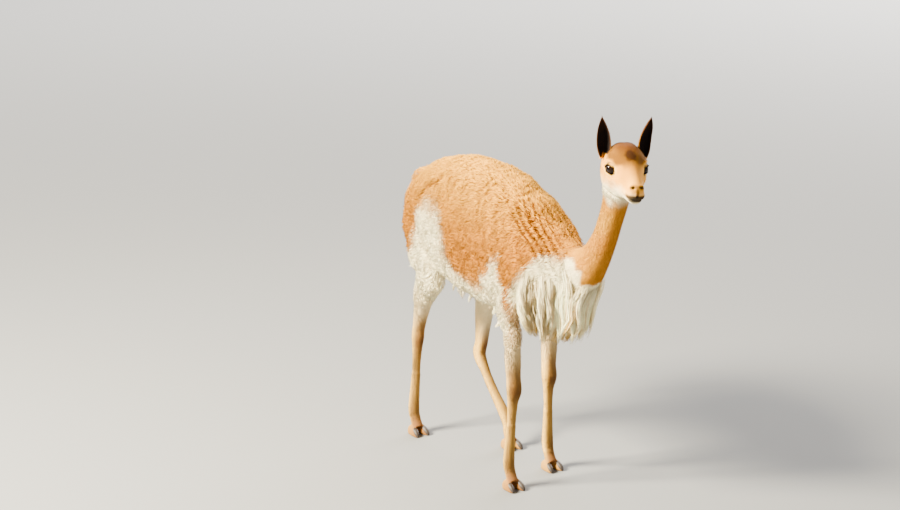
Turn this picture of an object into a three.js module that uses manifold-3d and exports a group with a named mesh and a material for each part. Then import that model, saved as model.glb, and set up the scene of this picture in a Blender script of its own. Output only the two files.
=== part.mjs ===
// A vicuna standing still with its head up, life size: a still model with no joints.
// Millimetres. +X points to the front of the animal, +Y to its left and +Z up.
// The floor is at z = 0, and the finished group is centred over its own box.
import * as THREE from "three";
import { mergeVertices } from "three/addons/utils/BufferGeometryUtils.js";
import Module from "manifold-3d";

const wasm = await Module();
wasm.setup();

// Driving dimensions of the trunk, at the outside of the coat
const BACK_LINE = [
  [352, 640], [334, 706], [292, 770], [236, 822], [160, 861], [60, 893], [-50, 906],
  [-160, 898], [-256, 871], [-328, 826], [-376, 770], [-396, 696],
];
const BELLY_LINE = [
  [352, 640], [344, 590], [314, 542], [256, 508], [170, 489], [60, 480], [-50, 488],
  [-140, 506], [-216, 540], [-288, 586], [-352, 640], [-396, 696],
];
const TRUNK_HALF_WIDTH = [4, 82, 116, 138, 152, 160, 161, 155, 142, 118, 82, 4];
const TRUNK_STEPS = 16;
const TRUNK_SIDES = 16;
const COAT_DEPTH = 40;
const CORE_SHARE = 0.5;
const CLUMP_RISE = COAT_DEPTH * (1 - CORE_SHARE);

// Where the trunk is parted, and the gap that touching parts keep
const GAP = 0.3;
const CHEST_CUT_X = 150;
const RUMP_CUT_X = -85;
const FORELEG_CUT_Z = 470;
const HIND_CUT_FRONT = [-150, 492];
const HIND_CUT_BACK = [-400, 640];

// Neck: centre, half depth and half width at each station
const NECK = [
  [270, 0, 664, 118, 100],
  [350, 6, 664, 96, 82],
  [420, 16, 684, 70, 60],
  [468, 24, 730, 51, 45],
  [504, 30, 792, 42, 38],
  [530, 33, 856, 41, 36],
  [550, 34, 912, 43, 38],
  [558, 34, 958, 47, 42],
  [564, 33, 1000, 44, 41],
];
const NECK_CUT_LOW = { at: [414, 16, 682], along: [0.9, 0.12, 0.42] };
const NECK_CUT_HIGH = { at: [560, 34, 938], along: [0.2, 0, 0.98] };

// Legs: centre, half length fore and aft, and half width at each station, top to fetlock
const RIGHT = -1;
const LEFT = 1;
const FORELEG_TOP = [
  [268, 84, 668, 62, 44],
  [236, 96, 590, 56, 42],
  [214, 97, 520, 47, 34],
];
const FOREARM = [
  [0, 4, 175, 36, 30],
  [0, 2, 95, 31, 27],
  [1, 0, 38, 26, 23.5],
  [4, 0, 0, 26.5, 24.5],
  [-2, 1, -42, 19, 18.5],
];
const HIND_TOP = [
  [-262, 74, 760, 88, 48],
  [-254, 86, 690, 102, 52],
  [-236, 94, 610, 88, 50],
];
const CANNON_HALF = [16.5, 16];
const FETLOCK_HALF = [20, 19];
const FETLOCK_Z = 82;
const FORELEGS = {
  right: { side: RIGHT, knee: [221, 83, 292], foot: [224, 100] },
  left: { side: LEFT, knee: [180, 66, 296], foot: [150, 84] },
};
const HINDLEGS = {
  right: { side: RIGHT, stifle: [-200, 96, 545], hock: [-322, 70, 300], foot: [-322, 86] },
  left: { side: LEFT, stifle: [-166, 98, 535], hock: [-196, 70, 258], foot: [-66, 84] },
};
const LEG_SIDES = 10;

// Feet: two padded toes, each with a nail
const TOE_LENGTH = 54;
const TOE_HALF_WIDTH = 11.5;
const TOE_SPREAD = 13.5;
const TOE_HEIGHT = 27;
const NAIL_LENGTH = 20;
const TOE_NAMES = ["inner", "outer"];

// Fleece: rounded clumps set in rows round the trunk, each leaning along the lie of the wool
const CLUMP_LENGTH = 136;
const CLUMP_WIDTH = 116;
const CLUMP_SIDES = 7;
const CLUMP_RINGS = [{ up: -0.35, reach: 0.94 }, { up: 0.66, reach: 0.84 }];
const CLUMP_LEAN = 7;
const CLUMP_BEND = 200;
const CLUMP_ROW_FRONT = 306;
const CLUMP_ROW_STEP = 88;
const CLUMP_ROWS = 8;
const CLUMP_AROUND = 104;
const CLUMP_GIRTH_RADIUS = 175;
const CLUMP_AXIS_Z = 700;
const CLUMP_LOWEST = -36;
const HAUNCH_CLUMPS = [[-316, 640], [-232, 560], [-300, 562], [-168, 520]];
const WOOL_LIE = new THREE.Vector3(-0.72, 0, -0.7);

// Belly fringe: short locks that hang in a row from the lower edge of each flank
const FRINGE_FRONT = 128;
const FRINGE_BACK = -66;
const FRINGE_COUNT = 6;
const FRINGE_AXIS_Z = 650;
const FRINGE_ANGLE = -38;
const FRINGE_LENGTH = 48;
const FRINGE_WIDTH = 52;

// Bib: its outer shape, and tiers of long flat locks that hang from the chest inside it
const BIB = [
  [300, 0, 690, 54, 98],
  [310, 0, 626, 68, 122],
  [312, 0, 560, 70, 120],
  [308, 0, 500, 60, 104],
  [304, 0, 462, 38, 78],
  [302, 0, 440, 20, 52],
];
const BIB_CORE_SHARE = 0.76;
const BIB_CORE_END = 506;
const BIB_AXIS_X = 300;
const BIB_TIERS = [
  { root: 584, tip: 446, count: 7, spread: 92 },
  { root: 640, tip: 474, count: 8, spread: 112 },
  { root: 700, tip: 512, count: 8, spread: 124 },
];
const LOCK_WIDTH = 58;
const LOCK_THICKNESS = 21;
const LOCK_SUNK = 12;
const LOCK_SWAY = 0.1;
const LOCK_STAND = 22;
const LOCK_STATIONS = [0, 0.26, 0.56, 0.84];
const LOCK_TAPER = [0.78, 1, 0.94, 0.62];

// Tail, hanging behind the rump: centre, half thickness and half width
const TAIL = [
  [-336, 0, 790, 20, 26],
  [-388, 0, 772, 19, 28],
  [-422, 0, 728, 18, 33],
  [-434, 0, 668, 17, 35],
  [-432, 0, 608, 13, 29],
  [-428, 0, 562, 5, 9],
];
const TAIL_TIERS = [0.4, 0.62];
const TAIL_LOCKS = 5;
const TAIL_CORE_SHARE = 0.6;
const TAIL_LOCK_WIDTH = 36;
const TAIL_LOCK_THICKNESS = 13;
const TAIL_ROOM = 5;
const TAIL_CUT = { at: [-394, 0, 766], along: [-0.9, 0, -0.44] };

// Head, in its own frame: x' to the nose, z' up, origin between the jaw joints
const HEAD_AT = [582, 36, 1008];
const HEAD_TURN = -20;
const HEAD_DROP = 8;
const HEAD_TILT = -4;
const CROWN_LINE = [
  [-66, 4], [-56, 42], [-28, 68], [6, 76], [36, 68], [60, 52], [90, 36], [120, 24],
  [142, 11], [152, -10],
];
const JAW_LINE = [
  [-66, 4], [-64, -36], [-44, -66], [-8, -76], [28, -70], [62, -60], [94, -53],
  [122, -50], [143, -42], [152, -12],
];
const HEAD_HALF_WIDTH = [5, 41, 56, 62, 58, 43, 32, 27, 21, 3];
const HEAD_STEPS = 20;
const HEAD_SIDES = 18;
const EYE_RADIUS = 17;
const EYE_AT = [31, 42, 16];
const EYE_FACING = [0.5, 0.86, 0.08];
const LID_RING = 15.5;
const LID_THICKNESS = 3.4;
const LID_AHEAD = 9;
const MOUTH_FRONT = [156, -28];
const MOUTH_CORNER = [100, -23];
const MOUTH_GAP = 1.6;
const LIP_DEPTH = 6;
const NOSTRIL_AT = [141, 10, 4];
const NOSTRIL_HALF = [7, 2.4, 4.2];

// Ears: upright leaves, rolled into a cup that opens to the front
const EAR_AT = [-14, 56, 46];
const EAR_LENGTH = 116;
const EAR_HALF_WIDTH = 20;
const EAR_WALL = 3.4;
const EAR_SPLAY = 8;
const EAR_LEAN_BACK = 8;
const EAR_OPEN_SIDE = 20;

// Materials
const FAWN = material(0xc98a4c, 0.95);
const CREAM = material(0xe9ddc4, 0.95);
const DARK = material(0x2c211b, 0.6);
const HORN = material(0x3a3029, 0.45);
const EYE_BLACK = material(0x0d0907, 0.08);

function material(color, roughness) {
  return new THREE.MeshStandardMaterial({ color, roughness, metalness: 0 });
}

function degrees(value) {
  return THREE.MathUtils.degToRad(value);
}

function vector(list) {
  return new THREE.Vector3(...list);
}

// A smooth curve through a list of points, read by a share from 0 to 1
function smooth(points) {
  const curve = new THREE.CatmullRomCurve3(points.map(vector), false, "catmullrom", 0.5);
  return (share) => curve.getPoint(share);
}

// The same small shares, in the same order, each time the source runs
function dice(seed) {
  let state = seed;
  return (low, high) => {
    state = (Math.imul(state, 1664525) + 1013904223) >>> 0;
    return low + ((high - low) * state) / 4294967296;
  };
}

// A closed surface through rings of equal length, with its ends filled to a middle or a tip
function loft(rings, tip = null) {
  const sides = rings[0].length;
  const points = rings.flat();
  const faces = [];
  for (let r = 0; r + 1 < rings.length; r++) {
    for (let k = 0; k < sides; k++) {
      const a = r * sides + k;
      const b = r * sides + ((k + 1) % sides);
      faces.push(a, b, b + sides, a, b + sides, a + sides);
    }
  }
  for (const last of [false, true]) {
    const ring = last ? rings[rings.length - 1] : rings[0];
    const first = last ? (rings.length - 1) * sides : 0;
    const middle = points.length;
    const mean = ring.reduce((sum, p) => sum.add(p), new THREE.Vector3()).divideScalar(sides);
    points.push(last && tip ? tip : mean);
    for (let k = 0; k < sides; k++) {
      const a = first + k;
      const b = first + ((k + 1) % sides);
      faces.push(...(last ? [a, b, middle] : [b, a, middle]));
    }
  }
  const geometry = new THREE.BufferGeometry().setFromPoints(points);
  geometry.setIndex(faces);
  return geometry;
}

// A ring in the plane of two half axes. Power 2 is an ellipse, and more is squarer
function ring(centre, first, second, sides, power = 2) {
  const points = [];
  for (let k = 0; k < sides; k++) {
    const angle = (2 * Math.PI * (k + 0.5)) / sides;
    const round = (value) => Math.sign(value) * Math.abs(value) ** (2 / power);
    points.push(
      centre.clone()
        .addScaledVector(first, round(Math.cos(angle)))
        .addScaledVector(second, round(Math.sin(angle))),
    );
  }
  return points;
}

// A rounded limb through stations of [x, y, z, half depth, half width]
function limb(stations, sides, steps, grow = 0) {
  const centre = smooth(stations.map((s) => s.slice(0, 3)));
  const half = smooth(stations.map((s) => [s[3], s[4], 0]));
  const rings = [];
  for (let i = 0; i <= steps; i++) {
    const share = i / steps;
    const ahead = centre(Math.min(1, share + 0.01));
    const along = ahead.sub(centre(Math.max(0, share - 0.01))).normalize();
    const depth = new THREE.Vector3(0, 1, 0).cross(along).normalize();
    const width = along.clone().cross(depth).normalize();
    const size = half(share);
    depth.multiplyScalar(size.x + grow);
    width.multiplyScalar(size.y + grow);
    rings.push(ring(centre(share), depth, width, sides, 2.1));
  }
  return loft(rings);
}

// The same closed surface moved along its normals
function offset(geometry, distance) {
  const plain = mergeVertices(geometry.clone(), 1e-3);
  plain.computeVertexNormals();
  const position = plain.attributes.position;
  const normal = plain.attributes.normal;
  for (let i = 0; i < position.count; i++) {
    position.setXYZ(
      i,
      position.getX(i) + normal.getX(i) * distance,
      position.getY(i) + normal.getY(i) * distance,
      position.getZ(i) + normal.getZ(i) * distance,
    );
  }
  plain.deleteAttribute("normal");
  return plain;
}

// A closed surface as a solid, with its faces turned round if they point inwards
function solid(geometry) {
  const plain = geometry.clone();
  for (const name of ["normal", "uv"]) plain.deleteAttribute(name);
  const merged = mergeVertices(plain, 1e-3);
  const vertProperties = new Float32Array(merged.attributes.position.array);
  const triVerts = new Uint32Array(merged.index.array);
  const made = new wasm.Manifold(new wasm.Mesh({ numProp: 3, vertProperties, triVerts }));
  if (made.volume() > 0) return made;
  for (let i = 0; i < triVerts.length; i += 3) {
    [triVerts[i + 1], triVerts[i + 2]] = [triVerts[i + 2], triVerts[i + 1]];
  }
  return new wasm.Manifold(new wasm.Mesh({ numProp: 3, vertProperties, triVerts }));
}

function join(solids) {
  return solids.reduce((whole, piece) => whole.add(piece));
}

// Only the largest closed surface, as a mesh's geometry
function geometryOf(made) {
  const pieces = made.decompose();
  const largest = pieces.reduce((a, b) => (a.volume() > b.volume() ? a : b));
  const mesh = largest.getMesh();
  const points = new Float32Array(mesh.numVert * 3);
  for (let i = 0; i < mesh.numVert; i++) {
    points.set(mesh.vertProperties.subarray(i * mesh.numProp, i * mesh.numProp + 3), i * 3);
  }
  const geometry = new THREE.BufferGeometry();
  geometry.setAttribute("position", new THREE.BufferAttribute(points, 3));
  geometry.setIndex(new THREE.BufferAttribute(mesh.triVerts, 1));
  return geometry;
}

// What lies on the side of a plane that its normal points to, half a gap clear of it
function beyond(made, at, normal) {
  const unit = vector(normal).normalize();
  return made.trimByPlane(unit.toArray(), unit.dot(vector(at)) + GAP / 2);
}

function before(made, at, normal) {
  return beyond(made, at, normal.map((value) => -value));
}

// The trunk, drawn in by an inset that leaves room for the wool's clumps
function trunkSurface(inset) {
  const back = smooth(BACK_LINE.map(([x, z]) => [x, 0, z]));
  const belly = smooth(BELLY_LINE.map(([x, z]) => [x, 0, z]));
  const width = smooth(TRUNK_HALF_WIDTH.map((value) => [value, 0, 0]));
  const rings = [];
  for (let i = 0; i <= TRUNK_STEPS; i++) {
    const share = 0.004 + (0.992 * i) / TRUNK_STEPS;
    const top = back(share);
    const low = belly(share);
    const centre = top.clone().add(low).multiplyScalar(0.5);
    const up = top.clone().sub(low).multiplyScalar(0.5);
    up.setLength(Math.max(2, up.length() - inset));
    const across = new THREE.Vector3(0, Math.max(2, width(share).x - inset), 0);
    rings.push(ring(centre, across, up, TRUNK_SIDES, 2.2));
  }
  return loft(rings);
}

// Stations given for the left side, placed on either side
function mirrored(stations, side) {
  return stations.map(([x, y, ...rest]) => [x, y * side, ...rest]);
}

// The short slope from the fetlock down into the two toes
function pastern([x, y]) {
  return [[x + 8, y, FETLOCK_Z - 34, 17, 19], [x + 22, y, FETLOCK_Z - 60, 16, 20]];
}

// The top of a leg drawn in under the fleece, less and less towards its last station
function drawnIn(stations, inset) {
  return stations.map(([x, y, z, depth, width], i) => {
    const less = inset * (1 - i / stations.length);
    return [x, y, z, depth - less, width - less];
  });
}

function forelegSurface({ side, knee, foot }, inset) {
  const arm = FOREARM.map(([x, y, z, ...half]) => [
    knee[0] + x, knee[1] + y, knee[2] + z, ...half,
  ]);
  const middle = [
    (knee[0] + foot[0]) / 2, (knee[1] + foot[1]) / 2, (knee[2] + FETLOCK_Z) / 2 - 10,
    ...CANNON_HALF,
  ];
  const fetlock = [foot[0], foot[1], FETLOCK_Z, ...FETLOCK_HALF];
  const all = [...drawnIn(FORELEG_TOP, inset), ...arm, middle, fetlock, ...pastern(foot)];
  return limb(mirrored(all, side), LEG_SIDES, 24);
}

function hindlegSurface({ side, stifle, hock, foot }, inset) {
  const shank = [
    (stifle[0] + hock[0]) / 2 - 6, (stifle[1] + hock[1]) / 2, (stifle[2] + hock[2]) / 2 + 16,
    44, 31,
  ];
  const aboveHock = [hock[0] + 10, hock[1] + 1, hock[2] + 44, 27, 20];
  const below = [
    hock[0] * 0.78 + foot[0] * 0.22, hock[1] * 0.78 + foot[1] * 0.22, hock[2] - 48, 19, 17,
  ];
  const middle = [
    (hock[0] + foot[0]) / 2, (hock[1] + foot[1]) / 2, (hock[2] + FETLOCK_Z) / 2 - 10,
    ...CANNON_HALF,
  ];
  const fetlock = [foot[0], foot[1], FETLOCK_Z, ...FETLOCK_HALF];
  const all = [
    ...drawnIn(HIND_TOP, inset), [...stifle, 64, 42], shank, aboveHock, [...hock, 28, 19],
    below, middle, fetlock, ...pastern(foot),
  ];
  return limb(mirrored(all, side), LEG_SIDES, 28);
}

// One padded toe, flat below, from under the pastern to the tip of its nail
function toeSurface(footX, centreY, outward) {
  const rings = [];
  const steps = 6;
  for (let i = 0; i <= steps; i++) {
    const share = i / steps;
    const x = footX - 16 + (TOE_LENGTH + 16) * share;
    const height = TOE_HEIGHT * Math.sqrt(Math.max(0.02, 1 - share ** 2.6)) + 3;
    const width = TOE_HALF_WIDTH * Math.sqrt(Math.max(0.03, 1 - (2 * share - 0.84) ** 2 * 0.72));
    const y = centreY + outward * share * 5;
    const flat = ring(
      new THREE.Vector3(x, y, height * 0.36),
      new THREE.Vector3(0, width, 0),
      new THREE.Vector3(0, 0, height * 0.64),
      8,
      2.4,
    );
    for (const point of flat) point.z = Math.max(0, point.z);
    rings.push(flat);
  }
  return loft(rings);
}

// Where the head's own frame stands: nose turned to the right and a little down,
// and the crown tilted a little to the left
function headPlace() {
  const place = new THREE.Matrix4().makeRotationFromEuler(
    new THREE.Euler(degrees(HEAD_TILT), degrees(HEAD_DROP), degrees(HEAD_TURN), "ZYX"),
  );
  return place.setPosition(vector(HEAD_AT));
}

function headSurface(inset = 0, steps = HEAD_STEPS, sides = HEAD_SIDES) {
  const crown = smooth(CROWN_LINE.map(([x, z]) => [x, 0, z]));
  const jaw = smooth(JAW_LINE.map(([x, z]) => [x, 0, z]));
  const width = smooth(HEAD_HALF_WIDTH.map((value) => [value, 0, 0]));
  const rings = [];
  const end = 0.006 + inset / 300;
  for (let i = 0; i <= steps; i++) {
    const share = end + ((1 - 2 * end) * i) / steps;
    const top = crown(share);
    const low = jaw(share);
    const centre = top.clone().add(low).multiplyScalar(0.5);
    const up = top.clone().sub(low).multiplyScalar(0.5);
    up.setLength(Math.max(1, up.length() - inset));
    const across = new THREE.Vector3(0, Math.max(1, width(share).x - inset), 0);
    rings.push(ring(centre, across, up, sides, 2.15));
  }
  return loft(rings);
}

// The turn that brings straight up to a facing
function turnedTo(facing) {
  const up = new THREE.Vector3(0, 0, 1);
  return new THREE.Quaternion().setFromUnitVectors(up, vector(facing).normalize());
}

function eyeBall(side, grow = 0) {
  const [x, y, z] = EYE_AT;
  return new THREE.SphereGeometry(EYE_RADIUS + grow, 14, 8).translate(x, y * side, z);
}

// A rim of lid round the eye, lower above and below than at its corners
function lidRim(side) {
  const facing = [EYE_FACING[0], EYE_FACING[1] * side, EYE_FACING[2]];
  const rim = new THREE.TorusGeometry(LID_RING, LID_THICKNESS, 5, 16);
  rim.scale(1, 0.86, 1);
  rim.rotateZ(side * Math.PI / 2);
  rim.translate(0, 0, LID_AHEAD);
  rim.applyQuaternion(turnedTo(facing));
  return rim.translate(EYE_AT[0], EYE_AT[1] * side, EYE_AT[2]);
}

function nostril(side) {
  const hole = new THREE.SphereGeometry(1, 10, 6);
  hole.scale(...NOSTRIL_HALF);
  hole.rotateZ(side * 0.7);
  hole.rotateY(0.5);
  const [x, y, z] = NOSTRIL_AT;
  return hole.translate(x, y * side, z);
}

// The thin wedge that parts the lips, deep enough for a clear line
function mouthLine() {
  const shape = new THREE.Shape();
  const half = MOUTH_GAP / 2;
  const [frontX, frontZ] = [MOUTH_FRONT[0] + 10, MOUTH_FRONT[1]];
  const middleX = (MOUTH_FRONT[0] + MOUTH_CORNER[0]) / 2;
  shape.moveTo(...MOUTH_CORNER);
  shape.quadraticCurveTo(middleX, frontZ - 4 - half, frontX, frontZ - half);
  shape.lineTo(frontX, frontZ + half);
  shape.quadraticCurveTo(middleX, frontZ - 4 + half, ...MOUTH_CORNER);
  const wedge = new THREE.ExtrudeGeometry(shape, {
    depth: 2 * HEAD_HALF_WIDTH[3],
    bevelEnabled: false,
    curveSegments: 6,
  });
  wedge.rotateX(Math.PI / 2);
  wedge.translate(0, HEAD_HALF_WIDTH[3], 0);
  return wedge;
}

function headSolid() {
  const surface = headSurface();
  let head = solid(surface);
  for (const side of [RIGHT, LEFT]) head = head.add(solid(lidRim(side)));
  for (const side of [RIGHT, LEFT]) {
    head = head.subtract(solid(eyeBall(side, GAP)));
    head = head.subtract(solid(nostril(side)));
  }
  const groove = solid(mouthLine()).subtract(solid(headSurface(LIP_DEPTH, 10, 10)));
  return head.subtract(groove);
}

// A leaf rolled about its long axis: each ring is an arc with an outer and an inner wall
function earSurface(side, grow = 0) {
  const steps = 8;
  const arc = 5;
  const rings = [];
  for (let i = 0; i <= steps; i++) {
    const share = i / steps;
    const height = EAR_LENGTH * share;
    const leaf = Math.sin(Math.PI * (0.12 + 0.88 * share) ** 0.85) ** 0.8;
    const radius = Math.max(2.6, EAR_HALF_WIDTH * leaf) + grow;
    const opening = degrees(62 + 38 * Math.sin(Math.PI * share));
    const wall = EAR_WALL * (1 - 0.45 * share) + 2 * grow;
    const inner = Math.max(radius - wall, radius * 0.35);
    const points = [];
    for (let k = 0; k <= arc; k++) {
      const angle = Math.PI + (2 * k / arc - 1) * (Math.PI - opening);
      points.push(new THREE.Vector3(radius * Math.cos(angle), radius * Math.sin(angle), height));
    }
    for (let k = arc; k >= 0; k--) {
      const angle = Math.PI + (2 * k / arc - 1) * (Math.PI - opening) * 0.97;
      points.push(new THREE.Vector3(inner * Math.cos(angle), inner * Math.sin(angle), height));
    }
    rings.push(points);
  }
  const leaf = loft(rings);
  leaf.translate(0, 0, -18);
  leaf.rotateZ(degrees(EAR_OPEN_SIDE * side));
  leaf.rotateX(degrees(-EAR_SPLAY * side));
  leaf.rotateY(degrees(-EAR_LEAN_BACK));
  return leaf.translate(EAR_AT[0], EAR_AT[1] * side, EAR_AT[2]);
}

// Finds where a line from outside first meets the body, looking in at an axis point
function prober(body) {
  const skin = new THREE.MeshStandardMaterial({ side: THREE.DoubleSide });
  const target = new THREE.Mesh(geometryOf(body), skin);
  const far = 900;
  return (axis, outward) => {
    const from = axis.clone().addScaledVector(outward, far);
    const inward = outward.clone().negate();
    const hit = new THREE.Raycaster(from, inward, 0, far).intersectObject(target)[0];
    if (!hit) return null;
    const normal = hit.face.normal.clone();
    if (normal.dot(outward) < 0) normal.negate();
    return { point: hit.point, normal, reach: far - hit.distance };
  };
}

// One rounded clump: it wraps a little round the body, and its lower end stands higher
function clump(point, normal, draw) {
  const size = draw(0.9, 1.12);
  const phase = draw(0, 1);
  const lie = WOOL_LIE.clone().projectOnPlane(normal).normalize();
  const across = normal.clone().cross(lie);
  const spokes = Array.from({ length: CLUMP_SIDES }, (_, k) => {
    const angle = (2 * Math.PI * (k + phase)) / CLUMP_SIDES;
    const reach = (size * draw(0.9, 1.1)) / 2;
    return [Math.cos(angle) * CLUMP_LENGTH * reach, Math.sin(angle) * CLUMP_WIDTH * reach];
  });
  const rings = CLUMP_RINGS.map(({ up, reach }) => {
    return spokes.map(([along, sideways]) => {
      const a = along * reach;
      const b = sideways * reach;
      const drop = (a * a + b * b) / (2 * CLUMP_BEND);
      const lean = (CLUMP_LEAN * a) / CLUMP_LENGTH;
      return point.clone()
        .addScaledVector(lie, a)
        .addScaledVector(across, b)
        .addScaledVector(normal, up * CLUMP_RISE + lean - drop);
    });
  });
  const top = point.clone()
    .addScaledVector(lie, 0.12 * CLUMP_LENGTH)
    .addScaledVector(normal, CLUMP_RISE);
  return solid(loft(rings, top));
}

// Rows of clumps round the trunk from the shoulders back, and a few on each haunch
function fleece(probe) {
  const draw = dice(11);
  const clumps = [];
  const grow = (axis, outward) => {
    const hit = probe(axis, outward);
    if (hit) clumps.push(clump(hit.point, hit.normal, draw));
  };
  for (let row = 0; row < CLUMP_ROWS; row++) {
    const x = CLUMP_ROW_FRONT - row * CLUMP_ROW_STEP;
    const round = degrees(180 - 2 * CLUMP_LOWEST);
    const fewer = row === CLUMP_ROWS - 1 ? 3 : 0;
    const count = Math.round((round * CLUMP_GIRTH_RADIUS) / CLUMP_AROUND) - fewer;
    for (let k = 0; k < count; k++) {
      const stagger = row % 2 ? 0.5 : 0;
      const share = (k + stagger + 0.25 + draw(-0.1, 0.1)) / count;
      const angle = degrees(CLUMP_LOWEST) + round * share;
      const axis = new THREE.Vector3(x + draw(-8, 8), 0, CLUMP_AXIS_Z);
      grow(axis, new THREE.Vector3(0, Math.cos(angle), Math.sin(angle)));
    }
  }
  for (const side of [RIGHT, LEFT]) {
    for (const [x, z] of HAUNCH_CLUMPS) {
      grow(new THREE.Vector3(x, 0, z), new THREE.Vector3(0, side, 0));
    }
  }
  return clumps;
}

// A flat lock along a path of points, each with its own sideways direction
function lock(path, sideways, width, thickness) {
  const tip = path[path.length - 1];
  const rings = LOCK_TAPER.map((taper, i) => {
    const along = path[i + 1].clone().sub(path[Math.max(0, i - 1)]).normalize();
    const across = sideways[i].clone().projectOnPlane(along).normalize();
    const out = along.clone().cross(across).multiplyScalar((thickness * (0.4 + 0.6 * taper)) / 2);
    return [
      path[i].clone().addScaledVector(across, (width * taper) / 2),
      path[i].clone().add(out),
      path[i].clone().addScaledVector(across, (-width * taper) / 2),
      path[i].clone().sub(out),
    ];
  });
  return solid(loft(rings, tip));
}

// Half depth and half width of the bib at a height, from its outer shape
function bibAt(z) {
  const last = BIB.length - 1;
  let i = 0;
  while (i < last - 1 && BIB[i + 1][2] > z) i++;
  const share = THREE.MathUtils.clamp((BIB[i][2] - z) / (BIB[i][2] - BIB[i + 1][2]), 0, 1);
  const mix = (k) => THREE.MathUtils.lerp(BIB[i][k], BIB[i + 1][k], share);
  return { x: mix(0), depth: mix(3), width: mix(4) };
}

// A place round the bib at a height: its direction from the axis, reach, and sideways line
function bibPlace(z, turn) {
  const { x, depth, width } = bibAt(z);
  const out = new THREE.Vector3(x - BIB_AXIS_X + depth * Math.cos(turn), width * Math.sin(turn), 0);
  const sideways = new THREE.Vector3(-depth * Math.sin(turn), width * Math.cos(turn), 0).normalize();
  return { reach: out.length(), outward: out.normalize(), sideways };
}

// The highest place, at or under a height, where the chest isn't far outside the bib's shape
function bibRoot(probe, height, turn) {
  for (let z = height; z > BIB_CORE_END; z -= 6) {
    const { reach, outward } = bibPlace(z, turn);
    const hit = probe(new THREE.Vector3(BIB_AXIS_X, 0, z), outward);
    if (hit && hit.reach < reach + LOCK_STAND) return z;
  }
  return BIB_CORE_END + 6;
}

// What the bib's locks grow from: its outer shape made smaller, and cut short
function bibCore() {
  const stations = BIB.map(([x, y, z, depth, width]) => [
    x, y, z, depth * BIB_CORE_SHARE, width * BIB_CORE_SHARE,
  ]);
  return solid(limb(stations, 12, 6)).trimByPlane([0, 0, 1], BIB_CORE_END);
}

// One tier of the bib: locks side by side round the chest, from its front to both sides
function bibTier(probe, draw, { root, tip, count, spread }, level) {
  const locks = [];
  for (let k = 0; k < count; k++) {
    const share = (2 * k) / (count - 1) - 1;
    const turn = degrees(share * spread + draw(-3, 3));
    const top = bibRoot(probe, root + draw(-8, 8) - 22 * share * share, turn);
    const low = tip + draw(-9, 9) + 26 * share * share;
    const raised = (k + level) % 2 ? 4 : -2;
    const path = [];
    const sideways = [];
    for (const down of [...LOCK_STATIONS, 1]) {
      const z = THREE.MathUtils.lerp(top, low, down);
      const place = bibPlace(z, turn + LOCK_SWAY * Math.sin(2 * turn + 5 * down + level) * down);
      const axis = new THREE.Vector3(BIB_AXIS_X, 0, z);
      const hit = probe(axis, place.outward);
      const held = hit ? hit.reach : 0;
      const hung = Math.max(place.reach, Math.min(held + raised, place.reach + LOCK_STAND));
      const reach = down === 0 ? held - LOCK_SUNK : hung + raised - LOCK_THICKNESS / 2;
      path.push(axis.addScaledVector(place.outward, reach));
      sideways.push(place.sideways);
    }
    locks.push(lock(path, sideways, LOCK_WIDTH * draw(0.9, 1.12), LOCK_THICKNESS));
  }
  return locks;
}

function bib(probe) {
  const draw = dice(23);
  return BIB_TIERS.flatMap((tier, level) => bibTier(probe, draw, tier, level));
}

// A row of short locks along the lower edge of each flank
function bellyFringe(probe) {
  const draw = dice(37);
  const locks = [];
  for (const side of [RIGHT, LEFT]) {
    for (let k = 0; k < FRINGE_COUNT; k++) {
      const share = k / (FRINGE_COUNT - 1);
      const x = THREE.MathUtils.lerp(FRINGE_FRONT, FRINGE_BACK, share) + draw(-5, 5);
      const angle = degrees(FRINGE_ANGLE + draw(-5, 5));
      const outward = new THREE.Vector3(0, side * Math.cos(angle), Math.sin(angle));
      const hit = probe(new THREE.Vector3(x, 0, FRINGE_AXIS_Z), outward);
      const fall = FRINGE_LENGTH * draw(0.85, 1.1);
      const path = [...LOCK_STATIONS, 1].map((down) => {
        const point = hit.point.clone().addScaledVector(hit.normal, down === 0 ? -LOCK_SUNK : 3);
        point.z -= fall * down;
        point.x -= 16 * down * down;
        return point;
      });
      const sideways = path.map(() => new THREE.Vector3(1, 0, 0));
      locks.push(lock(path, sideways, FRINGE_WIDTH, LOCK_THICKNESS * 0.8));
    }
  }
  return locks;
}

// The tail's wool: tiers of locks round a thin core, all hanging to the tip
function tailWool() {
  const draw = dice(41);
  const centre = smooth(TAIL.map((s) => s.slice(0, 3)));
  const half = smooth(TAIL.map((s) => [s[3], s[4], 0]));
  const locks = [];
  for (const [level, start] of TAIL_TIERS.entries()) {
    for (let k = 0; k < TAIL_LOCKS; k++) {
      const angle = ((k + level / 2) / TAIL_LOCKS) * 2 * Math.PI + draw(-0.15, 0.15);
      const reach = 0.36 * draw(0.85, 1.08);
      const path = [];
      const sideways = [];
      for (const share of [...LOCK_STATIONS, 1]) {
        const place = Math.min(1, start + reach * share);
        const size = half(place);
        const out = share === 0 ? 0.3 : 0.62 + 0.12 * share;
        const point = centre(place);
        point.x += Math.cos(angle) * size.x * out;
        point.y += Math.sin(angle) * size.y * out;
        path.push(point);
        sideways.push(new THREE.Vector3(-Math.sin(angle) * size.x, Math.cos(angle) * size.y, 0));
      }
      locks.push(lock(path, sideways, TAIL_LOCK_WIDTH, TAIL_LOCK_THICKNESS));
    }
  }
  return locks;
}

// What the tail's locks grow from: full size at the root and slimmer below it
function tailCore() {
  const stations = TAIL.map(([x, y, z, thick, wide], i) => {
    const share = i < 2 ? 1 : TAIL_CORE_SHARE;
    return [x, y, z + (i === TAIL.length - 1 ? 40 : 0), thick * share, wide * share];
  });
  return solid(limb(stations, 8, 6));
}

const vicuna = new THREE.Group();

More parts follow.
